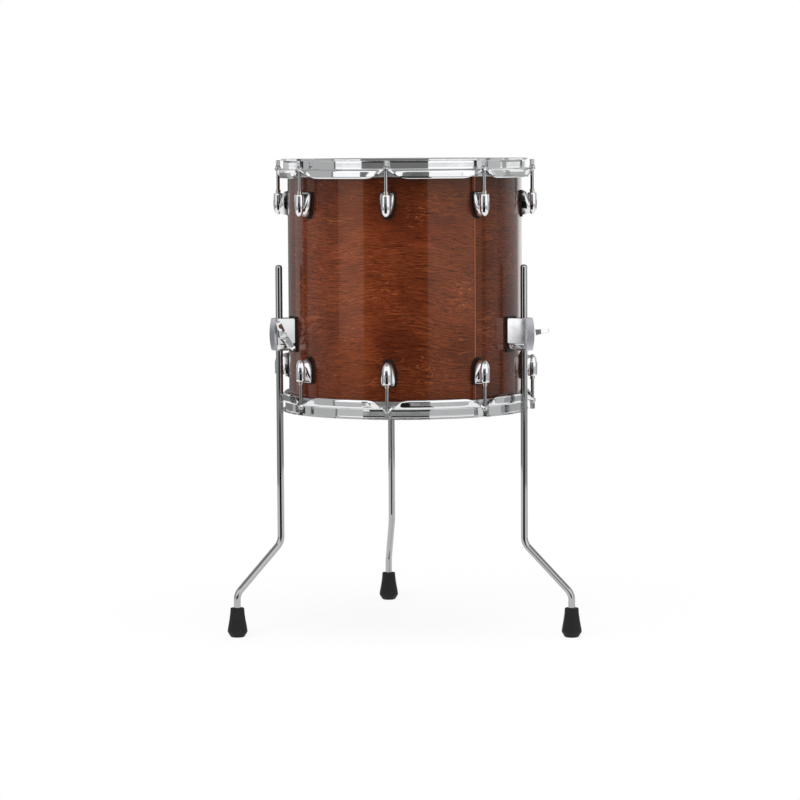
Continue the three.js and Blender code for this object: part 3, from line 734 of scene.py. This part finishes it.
# %% Shell
SHELL_INNER, SCREW_HOLE, VENT_HOLE = 171.8, 2.5, 6.5
DEPTH = SHELL_TOP - SHELL_BOTTOM
LEGS = [
    # side, azimuth, which way it kicks out, and how far its wing nut is turned
    ("left", -70.8, -62, 30), ("right", 62.4, 70.5, 80), ("rear", 186.5, 184.7, -25),
]
VENT_AZIMUTH = 149.5
BRACKET_MIDDLE = SHELL_BOTTOM + 106
BRACKET_SCREWS = (-16, 16)
LUG_TOP, LUG_LENGTH = -36.2, 36.3
LUG_SCREW_DOWN = -LUG_TOP + LUG_LENGTH * 0.45

half_edge = [
    (SHELL_RADIUS, DEPTH / 2), (SHELL_RADIUS, DEPTH - 2.5), (SHELL_RADIUS, DEPTH - 1.5),
    (SHELL_RADIUS - 0.15, DEPTH - 0.95), (SHELL_RADIUS - 0.45, DEPTH - 0.45),
    (SHELL_RADIUS - 0.95, DEPTH - 0.13), (SHELL_RADIUS - 1.5, DEPTH), (SHELL_INNER + 0.2, DEPTH - 4.2),
    (SHELL_INNER, DEPTH - 4.7), (SHELL_INNER, DEPTH - 6), (SHELL_INNER, DEPTH / 2),
]
tube_section = [*half_edge, *[(radius, DEPTH - height) for radius, height in reversed(half_edge[1:-1])]]
shell = moved(spun("shell_model", tube_section, 192, ring=True), z=SHELL_BOTTOM)


def hole_cutter(azimuth, height, radius=SCREW_HOLE):
    """A short bar through the shell's wall, pointing outward."""
    through = moved(turned(bar(radius, 20), "Y", 90), x=(SHELL_RADIUS + SHELL_INNER) / 2)
    return moved(turned(through, "Z", azimuth - 90), z=height)


holes = [hole_cutter(VENT_AZIMUTH, SHELL_BOTTOM + DEPTH / 2, VENT_HOLE)]
for i in range(LUG_COUNT):
    for height in (SHELL_TOP - LUG_SCREW_DOWN, SHELL_BOTTOM + LUG_SCREW_DOWN):
        holes.append(hole_cutter(LUG_AZIMUTH + LUG_PITCH * i, height))
for side, azimuth, *_ in LEGS:
    for height in BRACKET_SCREWS:
        holes.append(hole_cutter(azimuth, BRACKET_MIDDLE + height))
combined(shell, joined("shell_holes", holes))
smooth(shell, 30)
shell.data.materials.clear()
for finish in ("lacquered_veneer", "raw_wood"):
    shell.data.materials.append(finishes[finish])
for face in shell.data.polygons:
    out_from_axis = face.center.xy.length / MM
    upright = abs(face.normal.z) < 0.3
    outside = out_from_axis > SHELL_RADIUS - 0.4 and upright and face.normal.xy.dot(face.center.xy) > 0
    face.material_index = 0 if outside else 1
fit(shell, "ply_shell", Matrix.Translation(AXIS), "drum", "lacquered_wood", "shell", "its own")
print("shell faces", len(shell.data.polygons))

# %% [markdown]
# ## Heads
# A head is a thin film whose rim is turned down and crimped into an aluminium flesh hoop. Both are
# turned sections. The film runs flat over the bearing edge and then slopes down into the hoop.

# %% Heads
film_section = [
    (0, 0.3), (90, 0.3), (176.6, 0.3), (177.6, 0.12), (178.2, -0.5), (180.2, -3.9), (180.2, -6.5),
    (180.55, -6.5), (180.55, -3.9), (178.55, -0.3), (177.9, 0.42), (176.8, 0.65), (90, 0.65), (0, 0.65),
]
film = smooth(spun("film_model", film_section, 192), 60)
channel = [
    (179.1, -12.4), (179.6, -12.9), (184.1, -12.9), (184.6, -12.4), (184.6, -4.5), (184, -3.9),
    (181, -3.9), (180.65, -4.2), (180.65, -6.7), (180.1, -6.7), (180.1, -4.2), (179.8, -3.9),
    (179.4, -3.9), (179.1, -4.2),
]
flesh = smooth(bevelled(spun("flesh_model", channel, 192, ring=True), 0.15, 1), 40)

ENDS = {
    "batter": station(LUG_AZIMUTH, SHELL_TOP),
    "resonant": station(LUG_AZIMUTH, SHELL_BOTTOM) @ Matrix.Rotation(math.pi, 4, "X"),
}
for end, place in ENDS.items():
    kind = "coated_film" if end == "batter" else "clear_film"
    fit(film, end + "_film", place, "drum", kind, end + "_head_film")
    fit(flesh, end + "_flesh_ring", place, "drum", "aluminium", end + "_flesh_hoop")
print("film faces", len(film.data.polygons))

# %% [markdown]
# ## Hoops
# The hoops are pressed from steel sheet, 2.3 mm thick. The wall turns out into a rim at the top, and
# below it steps out again: flat at the eight ears, and rolled down into a skirt between them. A flat
# grid is the sheet. Its rows are led along the section and its columns round the drum, with the
# columns closest together where the ear passes into the skirt. Solidify gives it its thickness.

# %% Hoop section
SHEET, ROD_HOLE = 2.3, 3.15
RIM_SECTION = [
    (187.6, 12.25), (186.6, 12.25), (185.6, 12.25), (184.65, 12.25), (183.85, 12.08), (183.2, 11.65),
    (182.8, 11), (182.65, 10.25), (182.65, 7.5), (182.65, 4.5), (182.65, 1.8), (182.65, -0.9),
    (182.8, -1.5), (183.1, -2), (183.6, -2.33),
]
EAR_END, STEP_MIDDLE = 200.1, -2.45
SKIRT_SECTION = [
    (183.9, -2.45), (184.8, -2.45), (185.8, -2.45), (186.58, -2.55), (187.3, -2.85), (187.92, -3.33),
    (188.4, -3.95), (188.7, -4.67), (188.8, -5.45), (188.8, -6.9), (188.8, -8.5), (188.8, -10.1),
    (188.8, -11.7), (188.8, -13), (188.55, -14), (188.1, -14.7),
]
# an ear is flat for a degree and a half each way, then folds into the skirt over nine degrees
EAR_FLAT, FOLD, FOLD_CURVE = 1.5, 9, 2.3
TIP_ROUND, TIP_DEGREES = 1.6, 1.7
STEP_START = 184

# a column is an angle round the drum and the angle from its ear
half_steps = [0, 0.45, 0.85, 1.2, 1.5, 1.75, 2, 2.3, 2.7, 3.2, 3.8, 4.5, 5.3, 6.2, 7.2, 8.3, 9.5]
half_steps += [10.75 + 1.175 * i for i in range(11)]
offsets = [-step for step in half_steps[:0:-1]] + half_steps[:-1]
columns = [(LUG_PITCH * i + offset, abs(offset)) for i in range(LUG_COUNT) for offset in offsets]
columns.append((columns[0][0] + 360, columns[0][1]))
rows = len(RIM_SECTION) + len(SKIRT_SECTION)
print("hoop columns", len(columns), "rows", rows)


# %% Hoops
def on_hoop(column, row):
    """Where a grid point lies: on the rim and wall, on an ear, on the skirt or between those two."""
    degrees, from_ear = columns[column]
    if row < len(RIM_SECTION):
        out, up = RIM_SECTION[row]
    else:
        share = (row - len(RIM_SECTION) + 1) / len(SKIRT_SECTION)
        bend = 1 - (1 - min(1, max(0, (from_ear - EAR_FLAT) / FOLD))) ** FOLD_CURVE
        skirt_out, skirt_up = SKIRT_SECTION[row - len(RIM_SECTION)]
        tip = EAR_END - TIP_ROUND * min(1, from_ear / TIP_DEGREES) ** 3
        ear_out = STEP_START + (tip - STEP_START) * share
        out = ear_out + (skirt_out - ear_out) * bend
        up = STEP_MIDDLE + (skirt_up - STEP_MIDDLE) * bend
    turn = math.radians(degrees)
    return out * math.cos(turn), out * math.sin(turn), up


hoop = formed("hoop_model", len(columns), rows, on_hoop)
closed_up()
modified(hoop, "SOLIDIFY", thickness=SHEET * MM, offset=0, use_even_offset=True)
bevelled(hoop, 0.7, 3, 60)
rod_holes = [
    turned(moved(bar(ROD_HOLE, 12), x=ROD_CIRCLE, z=STEP_MIDDLE), "Z", LUG_PITCH * i)
    for i in range(LUG_COUNT)
]
combined(hoop, joined("rod_holes", rod_holes))
smooth(hoop, 40)
for end, place in ENDS.items():
    fit(hoop, end + "_steel_hoop", place, "drum", "chrome", end + "_hoop")
print("hoop faces", len(hoop.data.polygons))

# %% [markdown]
# ## Tension rods
# A tension rod is a long screw with a square head for a drum key. It is turned from a section whose
# lower end is cut into ridges for the thread, and the square is a small block on its flange. The
# washer under it is a ring of its own that turns with it.

# %% Tension rods
ROD_RADIUS, ROD_TIP = 2.65, -56.4
SEAT, RIDGES, RIDGE_PITCH = -1, 20, 1.06
thread = [(0, ROD_TIP), (1.9, ROD_TIP), (2.3, ROD_TIP + 0.6)]
for i in range(RIDGES):
    start = ROD_TIP + 1.1 + i * RIDGE_PITCH
    thread += [(ROD_RADIUS, start), (2.2, start + RIDGE_PITCH / 2)]
shank = [
    *thread, (ROD_RADIUS, -33.9),
    *lifted([
        (ROD_RADIUS, 1.3), (3.9, 1.3), (4.2, 1.5), (4.2, 2.1), (3.9, 2.7), (3.2, 3.9), (2.7, 4.9),
        (0, 5.1),
    ], SEAT),
]
rod = smooth(spun("rod_model", shank, 24), 40)
square = bevelled(cuboid("rod_square", (-2.75, -2.75, SEAT + 3.2), (2.75, 2.75, SEAT + 12.6)), 0.45, 3)
rod = joined("rod_model", [rod, smooth(turned(square, "Z", 30), 30)])
washer = [(2.95, SEAT), (5, SEAT), (5, SEAT + 1.3), (2.95, SEAT + 1.3)]
washer = smooth(bevelled(spun("washer_model", washer, 40, ring=True), 0.25, 2), 30)


def lug_station(end, index):
    """The frame of one lug and rod: x outward, z away from the shell."""
    turn = LUG_PITCH * index * (-1 if end == "resonant" else 1)
    return ENDS[end] @ Matrix.Rotation(math.radians(turn), 4, "Z")


for end in ENDS:
    for i in range(LUG_COUNT):
        name = f"{end}_rod_{i + 1}"
        place = lug_station(end, i) @ Matrix.Translation((ROD_CIRCLE * MM, 0, 0))
        fit(rod, f"{end}_tension_rod_{i + 1}", place, name, "chrome", name, "drawn_chrome")
        fit(washer, f"{end}_washer_{i + 1}", place, name, "chrome", name)
print("rod faces", len(rod.data.polygons))

# %% [markdown]
# ## Lugs
# A lug is a die casting: a bullet shaped barrel that lies in a cradle. At every level the cradle has
# a section between a half oval and a box, and the table says how wide, how far out and how square it
# is. A grid is led round those sections and closed on top. A trough is cut into the front, which
# leaves a thin bright wall on both sides of the barrel. The barrel is turned and bored, then joined.

# %% Lug casing
CRADLE = [
    # down from the top, half width, where its front lies, squareness of its section
    (0, 8.9, 184.2, 7), (0.5, 9.35, 184.6, 7), (1.6, 9.8, 185.1, 6.5), (3.5, 10.4, 186, 6),
    (6, 10.75, 187.2, 5), (9, 10.9, 188.6, 4.2), (12, 10.9, 190, 3.6), (15, 10.8, 191.4, 3.1),
    (18, 10.55, 192.8, 2.8), (21, 10.15, 194.2, 2.6), (24, 9.55, 195.6, 2.5), (27, 8.7, 196.2, 2.4),
    (29.5, 7.7, 196, 2.3), (31.5, 6.7, 194.8, 2.3), (33.2, 5.6, 192.6, 2.3), (34.6, 4.2, 189.4, 2.3),
    (35.6, 2.9, 186, 2.3), (36.1, 1.6, 183, 2.3), (36.3, 0, GASKET_FRONT, 2.3),
]
ACROSS = 24


def on_cradle(column, row):
    """Where a grid point lies; the last column closes the flat back."""
    down, half, front, square = CRADLE[row]
    turn = math.pi * (column % (ACROSS + 1)) / ACROSS
    outward = (front - GASKET_FRONT) * max(0, math.sin(turn)) ** (2 / square)
    sideways = math.copysign(half * abs(math.cos(turn)) ** (2 / square), math.cos(turn))
    return GASKET_FRONT + outward, sideways, LUG_TOP - down


cradle = formed("lug_model", ACROSS + 2, len(CRADLE), on_cradle)
bpy.ops.mesh.remove_doubles(threshold=1e-6)
bpy.ops.mesh.select_all(action="DESELECT")
bpy.ops.mesh.select_non_manifold()
bpy.ops.mesh.edge_face_add()
closed_up()
TROUGH_HALF = 7.9
trough = lifted([(183, -1.2), (205, -1.2), (205, -24.5), (192.6, -24.5)], LUG_TOP)
trough = block("trough", [(out, -TROUGH_HALF, height) for out, height in trough], (0, 2 * TROUGH_HALF, 0))
bevelled(combined(cradle, trough), 0.3, 2, 40)
BARREL_TOP = LUG_TOP - 2.7
barrel = lifted([
    (0, -5), (4.6, -5), (4.6, -0.3), (4.9, 0), (6.5, 0), (7, -0.5), (7.2, -2), (7.35, -5), (7.5, -9),
    (7.6, -13), (7.55, -17), (7.3, -20.5), (6.8, -23.7), (6, -26.5), (5, -28.8), (3.7, -30.7),
    (2.2, -32), (1, -32.6), (0, -32.8),
], BARREL_TOP)
barrel = moved(spun("barrel", barrel, 48), x=ROD_CIRCLE)
casing = smooth(combined(cradle, barrel, "UNION"), 40)
print("casing faces", len(casing.data.polygons))

# %% Lug gasket, nut and screw
GASKET_BACK, GASKET_RISE, GASKET_LENGTH = 172, 1.2, 40.5
GASKET_HALF, CASING_HALF = 12.6, 10.9


def gasket_of(name, pad, corner, steps, front, low, high):
    """A rubber pad under a casting, whose back is cut to the shell's curve."""
    outline = softened([(GASKET_BACK, across, height) for across, height in pad], corner, steps)
    gasket = bevelled(block(name, outline, (front - GASKET_BACK, 0, 0)), 0.5, 2, 50)
    radius = SHELL_RADIUS + 0.1
    core = spun("shell_core", [(0, low), (radius, low), (radius, high), (0, high)], 192)
    return smooth(combined(gasket, core), 35)


# the lug's pad has the outline of its casing, a little wider and longer
pad = [
    (half * GASKET_HALF / CASING_HALF, LUG_TOP + GASKET_RISE - down * GASKET_LENGTH / LUG_LENGTH)
    for down, half, *_ in CRADLE
]
pad += [(-across, height) for across, height in reversed(pad) if across != 0]
gasket = gasket_of("gasket_model", pad, 1.5, 2, GASKET_FRONT, -90, -20)

nut_section = lifted([
    (2.75, -4.4), (4.3, -4.4), (4.3, -1.2), (3.75, -1), (3.75, 4.8), (3.4, 5.2), (3, 5.2), (2.75, 4.9),
], BARREL_TOP)
nut = smooth(moved(spun("nut_model", nut_section, 32, ring=True), x=ROD_CIRCLE), 40)

# a cross-headed screw and its washer, driven outward from inside the shell, along +X
INNER_SEAT = 171.1
head = [
    (0, -2.9), (1.6, -2.85), (3, -2.5), (3.9, -1.8), (4.3, -0.9), (4.3, -0.4), (2.2, -0.4),
    (2.2, 9.9), (1.8, 10.8), (0, 10.8),
]
screw = spun("screw_model", head, 24)
for turn in (0, 90):
    cross = cuboid("cross", (-2.1, -0.4, -3.5), (2.1, 0.4, -1.7))
    combined(screw, turned(cross, "Z", turn))
ring = spun("ring", [(2.3, -0.4), (4.6, -0.4), (4.6, 0.4), (2.3, 0.4)], 32, ring=True)
screw = joined("screw_model", [smooth(screw, 30), smooth(bevelled(ring, 0.15, 1), 30)])
screw = moved(turned(screw, "Y", 90), x=INNER_SEAT)

for end in ENDS:
    for i in range(LUG_COUNT):
        node, place = f"{end}_lug_{i + 1}", lug_station(end, i)
        fit(casing, f"{end}_lug_casing_{i + 1}", place, "drum", "cast_chrome", node)
        fit(gasket, f"{end}_lug_gasket_{i + 1}", place, "drum", "black_rubber", node)
        fit(nut, f"{end}_swivel_nut_{i + 1}", place, "drum", "chrome", node, "nickel")
        screw_place = place @ Matrix.Translation((0, 0, -LUG_SCREW_DOWN * MM))
        fit(screw, f"{end}_lug_screw_{i + 1}", screw_place, "drum", "chrome", node, "zinc_screw")
print("lug pieces", 4 * LUG_COUNT * 2)

# %% [markdown]
# ## Leg brackets
# A bracket is a cast block on a black gasket. The leg stands in a bore through it, and a slot across
# the bore holds the eyebolt. The block's back corners are rounded, a groove runs round it near the
# bottom, and below the groove a slightly narrower lip is cut away towards the shell. Block and lip
# grow narrower towards the front, the draft that lets a casting leave its mould. A bulged cap closes
# the front.

# %% Bracket body
LEG_CIRCLE, LEG_BORE, BOLT_BORE = 200.75, 5.55, 4.2
BRACKET_FRONT, BRACKET_TOP, UPPER_HALF, LIP_HALF = 207.5, 24.5, 15.3, 14.2
SLOT_HALF, SLOT_HIGH = 10.95, 4.3


def edge_bevel(piece, width, segments, test):
    """Rounds the edges whose middle, in millimetres, and direction pass the test."""
    only(piece)
    mode("EDIT")
    bpy.ops.mesh.select_mode(type="EDGE")
    bpy.ops.mesh.select_all(action="DESELECT")
    mode("OBJECT")
    for edge in piece.data.edges:
        first, second = (piece.data.vertices[i].co / MM for i in edge.vertices)
        edge.select = test((first + second) / 2, (second - first).normalized())
    mode("EDIT")
    bpy.ops.mesh.bevel(offset=width * MM, segments=segments, affect="EDGES")
    bpy.ops.mesh.select_mode(type="VERT")
    mode("OBJECT")


def drafted(piece, front, foot=1):
    """Narrows a block towards its front, and its foot, to these shares of its width."""
    vertices = piece.data.vertices
    far, low = max(v.co.x for v in vertices), min(v.co.z for v in vertices)
    for vertex in vertices:
        share = front if vertex.co.x > far - 1e-6 else 1
        vertex.co.y *= share * (foot if vertex.co.z < low + 1e-6 else 1)


low, high = (GASKET_FRONT, -UPPER_HALF, -13.7), (BRACKET_FRONT, UPPER_HALF, BRACKET_TOP)
upper = cuboid("bracket_model", low, high)
drafted(upper, 12.7 / UPPER_HALF)
edge_bevel(upper, 2.6, 5, lambda at, along: abs(along.y) > 0.9 and at.x < GASKET_FRONT + 1)
bevelled(upper, 0.7, 3, 40)
lip = cuboid("bracket_lip", (182.2, -LIP_HALF, -BRACKET_TOP), (BRACKET_FRONT, LIP_HALF, -15.1))
drafted(lip, 12.4 / LIP_HALF, 0.72)
edge_bevel(lip, 7.5, 3, lambda at, along: abs(along.y) > 0.9 and at.x < 183 and at.z < -20)
edge_bevel(lip, 3.5, 4, lambda at, along: abs(along.x) > 0.9 and at.z < -20)
bevelled(lip, 0.5, 2, 40)
neck = cuboid("bracket_neck", (181, -11.2, -17), (BRACKET_FRONT - 0.8, 11.2, -12))
body = combined(combined(upper, neck, "UNION"), lip, "UNION")
combined(body, moved(bar(LEG_BORE, 60, 48), x=LEG_CIRCLE))
combined(body, cuboid("slot", (192.3, -SLOT_HALF, -SLOT_HIGH), (215, SLOT_HALF, SLOT_HIGH)))
combined(body, moved(turned(bar(BOLT_BORE, 20), "X", 90), x=LEG_CIRCLE, y=10))
smooth(body, 35)
print("bracket faces", len(body.data.polygons))

# %% Bracket gasket and cap
pad = [(17.1, 26.6), (17.1, -26.6), (-17.1, -26.6), (-17.1, 26.6)]
bracket_gasket = gasket_of("bracket_gasket_model", pad, 3, 4, GASKET_FRONT + 0.1, -40, 40)

CAP_HALF, CAP_BACK, CAP_EDGE, CAP_BULGE = 12.2, 207.8, 209.8, 3
bulge = [
    (CAP_EDGE + CAP_BULGE * (1 - (i / 10) ** 2), BRACKET_TOP * i / 10) for i in range(-10, 11)
]
cap_outline = [(CAP_BACK, -BRACKET_TOP), *bulge, (CAP_BACK, BRACKET_TOP)]
cap = block("cap_model", [(x, -CAP_HALF, z) for x, z in cap_outline], (0, 2 * CAP_HALF, 0))
bevelled(cap, 0.9, 3, 50)
combined(cap, cuboid("eye_room", (200, -SLOT_HALF, -SLOT_HIGH), (209.2, SLOT_HALF, SLOT_HIGH)))
smooth(cap, 35)

for side, azimuth, *_ in LEGS:
    node, place = side + "_bracket_body", station(azimuth, BRACKET_MIDDLE)
    fit(body, side + "_bracket_casting", place, "drum", "cast_chrome", node, "chrome")
    fit(bracket_gasket, side + "_bracket_gasket", place, "drum", "black_rubber", node)
    for i, height in enumerate(BRACKET_SCREWS):
        screw_place = place @ Matrix.Translation((0, 0, height * MM))
        fit(screw, f"{side}_bracket_screw_{i + 1}", screw_place, "drum", "chrome", node, "zinc_screw")
    fit(cap, side + "_cap", place, "drum", "cast_chrome", side + "_bracket_cap", "satin_cap")
print("brackets", len(LEGS))

# %% [markdown]
# ## Eyebolts and wing nuts
# The leg passes through the eye of a bolt, and the wing nut on the bolt pulls the leg against its
# bore. The eye is an outline with round ends, extruded, with a hole of the same form. The wing nut is
# a turned hub with two swept wings; a wing is cut twice, once to its outline from the side and once
# to its taper seen from the end.

# %% Eyebolt
EYE_TRAVEL, EYE_PITCH, THREAD_END = 2.5, 1.25, 25.95


def eye_outline(radius, z):
    """A circle drawn out along y by the bolt's travel."""
    points = []
    for start, along in ((math.pi, 0), (0, EYE_TRAVEL)):
        for i in range(33):
            angle = start + math.pi * i / 32
            points.append((radius * math.cos(angle), along + radius * math.sin(angle), z))
    return points


eye = bevelled(block("eyebolt_model", eye_outline(8.15, -4), (0, 0, 8)), 0.8, 3, 50)
combined(eye, block("eye_hole", eye_outline(LEG_BORE, -10), (0, 0, 20)))
profile = [(0, 9.35), (3.9, 9.35), (3.9, 13)]
for i in range(9):
    profile += [(3.3, 13.6 + EYE_PITCH * i), (3.9, 14.2 + EYE_PITCH * i)]
profile += [(3.4, THREAD_END - 0.4), (3, THREAD_END), (0, THREAD_END)]
bolt_shank = turned(spun("bolt_shank", profile, 32), "X", -90)
eyebolt = joined("eyebolt_model", [smooth(eye, 40), smooth(bolt_shank, 40)])
print("eyebolt faces", len(eyebolt.data.polygons))

# %% Wing nut
HUB_BASE, WING_SPAN, WING_TIP = 14.45, 25.1, 37.45
hub = lifted([
    (4.25, 0), (6.2, 0), (6.6, 0.5), (6.5, 2), (5.6, 6.5), (5.4, 7.4), (4.9, 7.9), (4.25, 7.9),
], HUB_BASE)
nut = turned(spun("wing_nut_model", hub, 40, ring=True), "X", -90)
wing = [
    (HUB_BASE + 2.4, 4.6), (HUB_BASE + 6.5, 9.5), (HUB_BASE + 11.5, 16.5), (WING_TIP - 7, 22.2),
    (WING_TIP - 4, 24.8), (WING_TIP - 1.8, WING_SPAN), (WING_TIP, 23), (WING_TIP - 0.6, 19.8),
    (WING_TIP - 6.5, 12.8), (HUB_BASE + 9, 4.6),
]
wing = softened([(0, along, out) for along, out in wing], 3, 3)
taper = [(5.2, 4.3), (4.3, 9.5), (3.2, 17), (2.5, 25.6)]
taper = [(-5.2, 4.3), *taper, *[(-x, z) for x, z in reversed(taper[1:])]]
blades = []
for flip in (1, -1):
    blade = block("blade", [(-8, y, z * flip) for _, y, z in wing], (16, 0, 0))
    shape = block("taper", [(x, 0, z * flip) for x, z in taper], (0, 45, 0))
    blades.append(bevelled(combined(blade, shape, "INTERSECT"), 1.5, 4, 40))
for blade in blades:
    combined(nut, blade, "UNION")
combined(nut, turned(bar(BOLT_BORE, 60, 40), "X", 90))
smooth(nut, 40)
for side, azimuth, _, swing in LEGS:
    place = station(azimuth, BRACKET_MIDDLE) @ Matrix.Translation((LEG_CIRCLE * MM, 0, 0))
    fit(eyebolt, side + "_eye_bolt", place, side + "_eyebolt", "chrome", side + "_eyebolt")
    place = place @ Matrix.Rotation(math.radians(swing), 4, "Y")
    fit(nut, side + "_wing", place, side + "_wing_nut", "cast_chrome", side + "_wing_nut", "chrome")
print("wing nut faces", len(nut.data.polygons))

# %% [markdown]
# ## Legs and feet
# A leg is one steel rod. It starts as a small circle at the domed top, is widened and pulled down,
# spun 45 degrees outward, pulled along the slant, and spun back. Its upper part is knurled so that the
# bracket can grip it. That pattern follows the rod's surface, so the leg gets a UV map: once round
# the rod is one unit across, and the height in metres goes up.

# %% Knurled chrome
KNURL_BOTTOM, KNURL_TOP = 333.5, 497.5
net = new_finish("leg_chrome")
turns, up, _ = net.parts(net.node("TexCoord").out("UV"))
around, height = turns * 28, up * 850
first = (around + height).maths("PINGPONG", 0.5)
second = (around - height).maths("PINGPONG", 0.5)
grip = net.ramp(up, KNURL_BOTTOM * MM, (KNURL_BOTTOM + 1) * MM)
grip = grip * net.ramp(up, (KNURL_TOP - 1) * MM, KNURL_TOP * MM, 1, 0)
relief = net.bump((first + second) * grip, 0.00035, 0.8)
surface(net, (0.44, 0.443, 0.45, 1), grip * 0.16 + 0.045, relief, Metallic=1)
print("knurl nodes", len(net.tree.nodes))

# %% Legs
LEG_TOP, LEG_END, LEG_RADIUS, LEG_KICK = 558.5, 8.3, 5.25, 74
UPPER_BEND, LOWER_BEND, BEND_TANGENT = 139, 65, 9
BEND_RADIUS = BEND_TANGENT / math.tan(math.radians(22.5))
# the dome: the rod's radius at these depths below its top
dome = [(1.7, 0), (3.2, 0.35), (4.3, 1.05), (4.95, 2.2), (LEG_RADIUS, 4)]
bpy.ops.mesh.primitive_circle_add(
    vertices=32, radius=dome[0][0] * MM, fill_type="NGON", location=(0, 0, LEG_TOP * MM)
)
leg_model = added("leg_model")
bpy.ops.object.transform_apply()
mode("EDIT")
bpy.ops.mesh.select_all(action="SELECT")


def pull(x, z):
    """Extrudes the rod's end face along its centreline."""
    bpy.ops.mesh.extrude_region_move(TRANSFORM_OT_translate={"value": Vector((x, 0, z)) * MM})


def bend(x, z, degrees):
    """Spins the rod's end face about a point beside it."""
    centre = Vector((x, 0, z)) * MM
    bpy.ops.mesh.spin(steps=12, angle=math.radians(degrees), center=centre, axis=(0, 1, 0))


for (before, above), (after, below) in zip(dome, dome[1:]):
    pull(0, above - below)
    bpy.ops.transform.resize(value=(after / before, after / before, 1), center_override=(0, 0, 0))
levels = [LEG_TOP - dome[-1][1], KNURL_TOP, KNURL_BOTTOM, UPPER_BEND + BEND_TANGENT]
for above, below in zip(levels, levels[1:]):
    pull(0, below - above)
bend(BEND_RADIUS, UPPER_BEND + BEND_TANGENT, 45)
slant = BEND_TANGENT * math.sqrt(0.5)
run = LEG_KICK - 2 * slant
pull(run, -run)
bend(LEG_KICK - BEND_RADIUS, LOWER_BEND - BEND_TANGENT, -45)
pull(0, LEG_END - (LOWER_BEND - BEND_TANGENT))
closed_up()
mesh = leg_model.data
uv_map = mesh.uv_layers.new(name="round_the_rod")
for face in mesh.polygons:
    corners = [(i, mesh.vertices[mesh.loops[i].vertex_index].co) for i in face.loop_indices]
    angles = [math.atan2(co.y, co.x) / (2 * math.pi) for _, co in corners]
    wraps = max(angles) - min(angles) > 0.5
    for (i, co), angle in zip(corners, angles):
        uv_map.data[i].uv = (angle + 1 if wraps and angle < 0 else angle, co.z)
smooth(leg_model, 40)
print("leg faces", len(mesh.polygons))

# %% Rubber feet
foot_section = [
    (0, 0), (9.6, 0), (10.9, 0.9), (14.6, 7), (15.1, 8.3), (15.05, 9.8), (14, 16.5), (12.3, 25.5),
    (11.3, 32.5), (10.75, 37.5), (10.5, 42.6), (10.1, 43.7), (9.5, 44), (6.2, 44), (5.6, 43.4),
    (5.6, 8), (0, 8),
]
foot = smooth(spun("foot_model", foot_section, 48), 50)
for side, azimuth, kick, _ in LEGS:
    around = math.radians(azimuth - 90)
    at = AXIS + Vector((math.cos(around), math.sin(around), 0)) * LEG_CIRCLE * MM
    place = Matrix.Translation(at) @ Matrix.Rotation(math.radians(kick - 90), 4, "Z")
    fit(leg_model, side + "_steel_leg", place, side + "_leg", "chrome", side + "_leg", "leg_chrome")
    place = place @ Matrix.Translation((LEG_KICK * MM, 0, 0))
    fit(foot, side + "_foot", place, side + "_leg", "black_rubber", side + "_rubber_foot")
print("feet", len(LEGS))

# %% [markdown]
# ## Vent
# Air leaves the drum through a small metal eyelet at the back, rolled over on both faces of the
# shell. It is a turned ring whose axis is then laid outward.

# %% Vent eyelet
vent_section = [
    (5, 170.6), (5.4, 169.9), (6.4, 169.7), (8.9, 170.2), (9.4, 170.8), (9.2, 171.2), (6.3, 171.3),
    (6.3, 178.1), (9.2, 178.15), (9.4, 178.4), (8.8, 178.9), (6.9, 179.3), (5.6, 179.2), (5, 178.5),
]
vent = smooth(turned(spun("vent_model", vent_section, 48, ring=True), "Y", 90), 50)
place = station(VENT_AZIMUTH, SHELL_BOTTOM + DEPTH / 2)
fit(vent, "vent_eyelet", place, "drum", "chrome", "vent_grommet")
print("vent done")

# %% [markdown]
# ## The models go
# Every piece was laid as a copy, so the models can go.

# %% Remove the models
for model in [piece for piece in bpy.data.objects if piece.name.endswith("_model")]:
    bpy.data.objects.remove(model)
